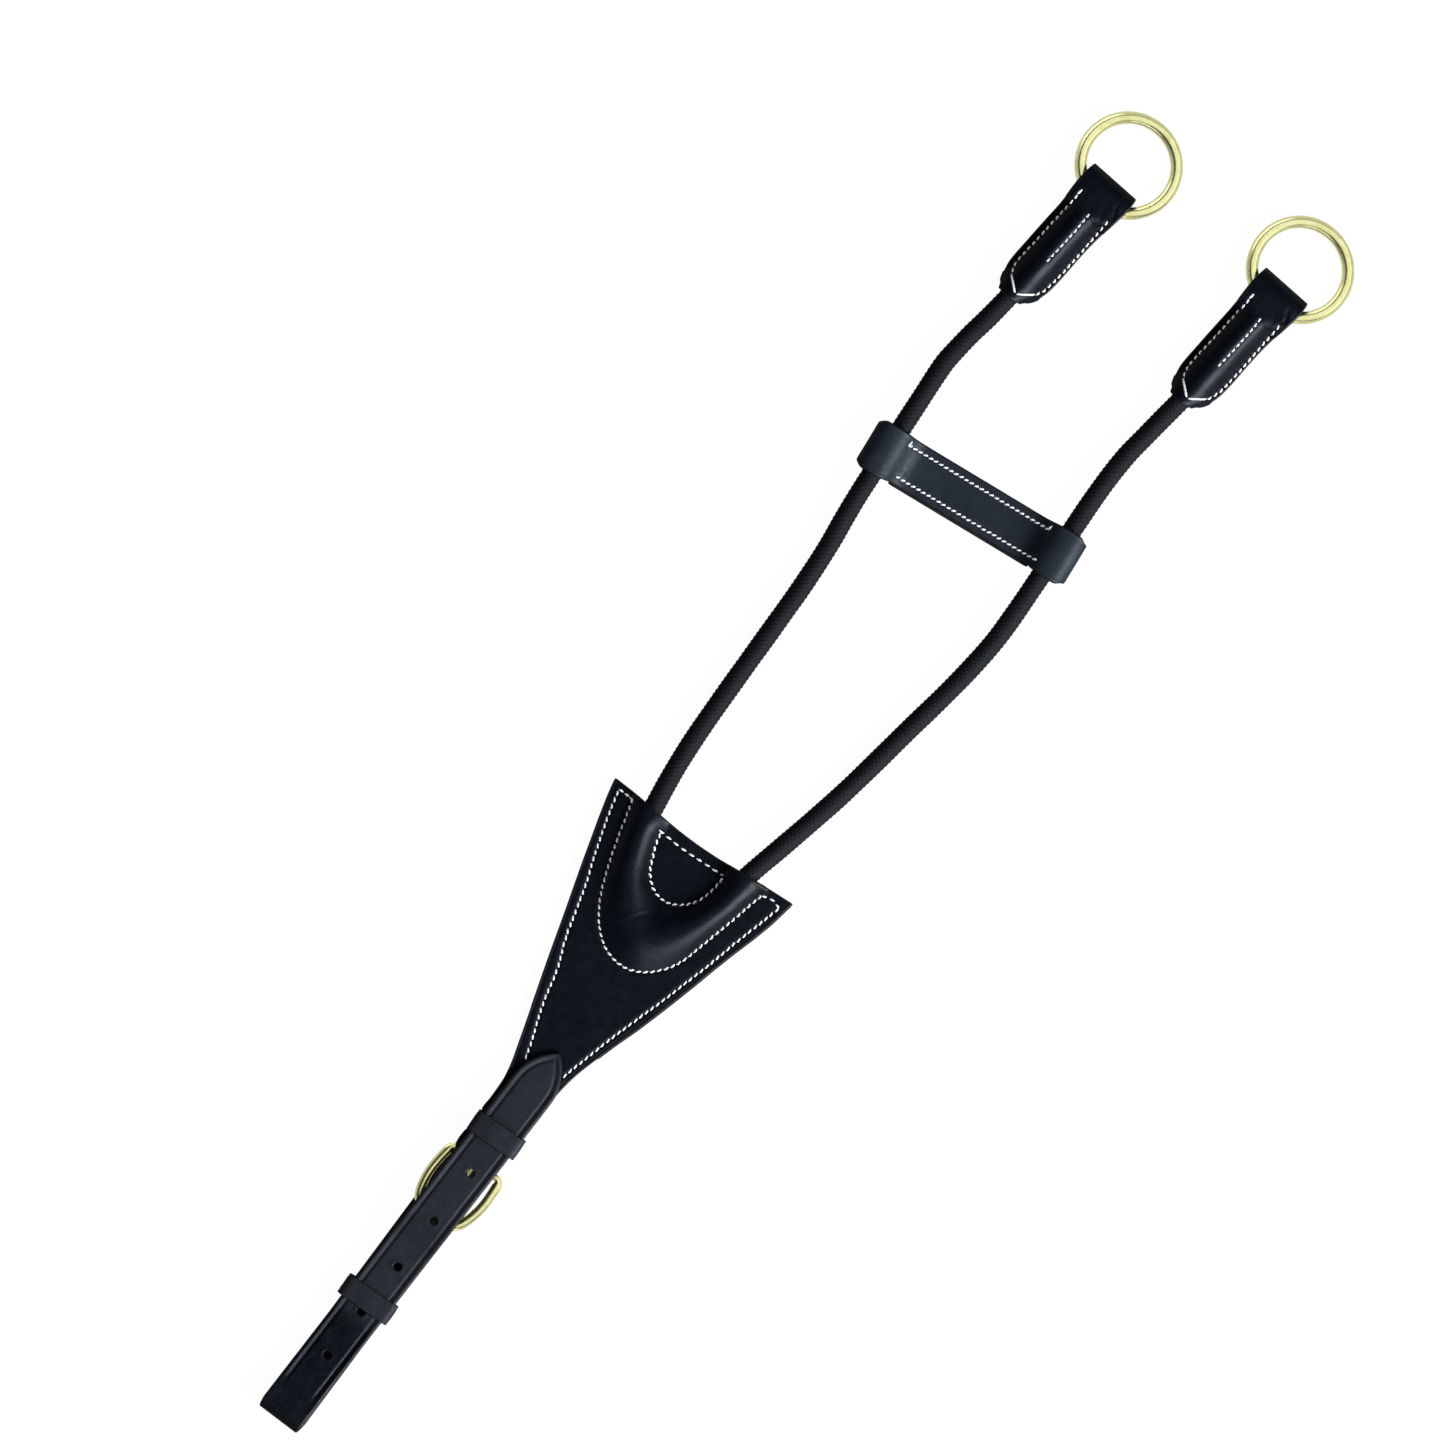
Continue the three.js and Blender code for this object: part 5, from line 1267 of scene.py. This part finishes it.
def area(name, at, size, power, size_y=None, tint=(1, 1, 1), target=(0, 0, 0)):
    l = bpy.data.lights.new(name, "AREA")
    l.energy = power
    l.shape = "RECTANGLE"
    l.size, l.size_y = size, size_y or size
    l.color = tint
    o = bpy.data.objects.new(name, l)
    bpy.context.scene.collection.objects.link(o)
    o.location = at
    o.rotation_mode = "QUATERNION"
    o.rotation_quaternion = (Vector(target) - Vector(at)).to_track_quat("-Z", "Y")
    o.visible_camera = False
    return o


keys = [area("key", (1.60, 0.05, 0.98), 0.9, 35, 1.5, tint=(0.98, 0.99, 1.0)), area("foot_key", (1.20, -1.00, 0.92), 1.1, 11, 1.3, tint=(0.98, 0.99, 1.0))]
# light that the leather and the thread scatter but don't mirror
for name, at, size, power in (("side_fill", (1.50, 0.25, 0.85), 1.2, 13), ("top_fill", (0.2, 0.3, 1.8), 1.6, 5)):
    o = area(name, at, size, power)
    o.visible_glossy = False
# a broad white ceiling that only the brass mirrors, open towards the side the camera stands on
brass_only = bpy.data.collections.new("brass_only")
for ob in (ring_obs["left"], ring_obs["right"], buckle_ob, tongue_ob):
    brass_only.objects.link(ob)
# the keys leave the brass alone, or its outer sides burn out
no_brass = bpy.data.collections.new("no_brass")
for ob in (ring_obs["left"], ring_obs["right"], buckle_ob, tongue_ob):
    no_brass.objects.link(ob)
for it in no_brass.collection_objects:
    it.light_linking.link_state = "EXCLUDE"
for o in keys:
    o.light_linking.receiver_collection = no_brass
panels = [("ceiling", (0.55, 0.45, 1.30), 2.6, 21, 2.6, (0, 0, 0)), ("wall", (-2.2, 1.2, 0.9), 2.4, 16, 1.2, (0, 0, 0)), ("foot_wall", (0.6, -2.2, 0.8), 2.4, 13, 1.0, (0, 0, 0))]
panels += [("skirt_%d" % k, (1.6 * math.cos(k * math.pi / 2 + 0.4), 1.6 * math.sin(k * math.pi / 2 + 0.4), 0.66), 3.1, 5.5, 1.3, (0, 0, 0.66)) for k in range(4)]
panels += [("floor_glow", (0, 0, -0.0004), 4.0, 30, 4.0, (0, 0, 1))]
for name, at, size, power, size_y, target in panels:
    o = area(name, at, size, power, size_y, target=target)
    o.light_linking.receiver_collection = brass_only
# the white thread stands out a little brighter than the black hide lets it
thread_only = bpy.data.collections.new("thread_only")
for ob in (thread_ob, bridge_thread_ob, tab_obs["left_thread"], tab_obs["right_thread"]):
    thread_only.objects.link(ob)
area("thread_fill", (0.5, 0.2, 1.8), 1.4, 13).light_linking.receiver_collection = thread_only

view = bpy.context.scene.view_settings
view.view_transform = "Standard"
view.look = "None"

cam_data = bpy.data.cameras.new("camera")
cam_data.lens = 300
cam_data.sensor_width = 36
cam = bpy.data.objects.new("camera", cam_data)
bpy.context.scene.collection.objects.link(cam)
FRAME_MM = 606.9
dist = FRAME_MM / 1000 / 2 / (18 / 300)
cam.location = ((-34.8 + SHIFT[0]) / 1000, (213.8 + SHIFT[1]) / 1000, dist + 0.004)
cam.rotation_euler = (0, 0, math.radians(38.47))
cam_data.clip_start, cam_data.clip_end = 0.05, 50
bpy.context.scene.camera = cam

lo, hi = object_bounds()
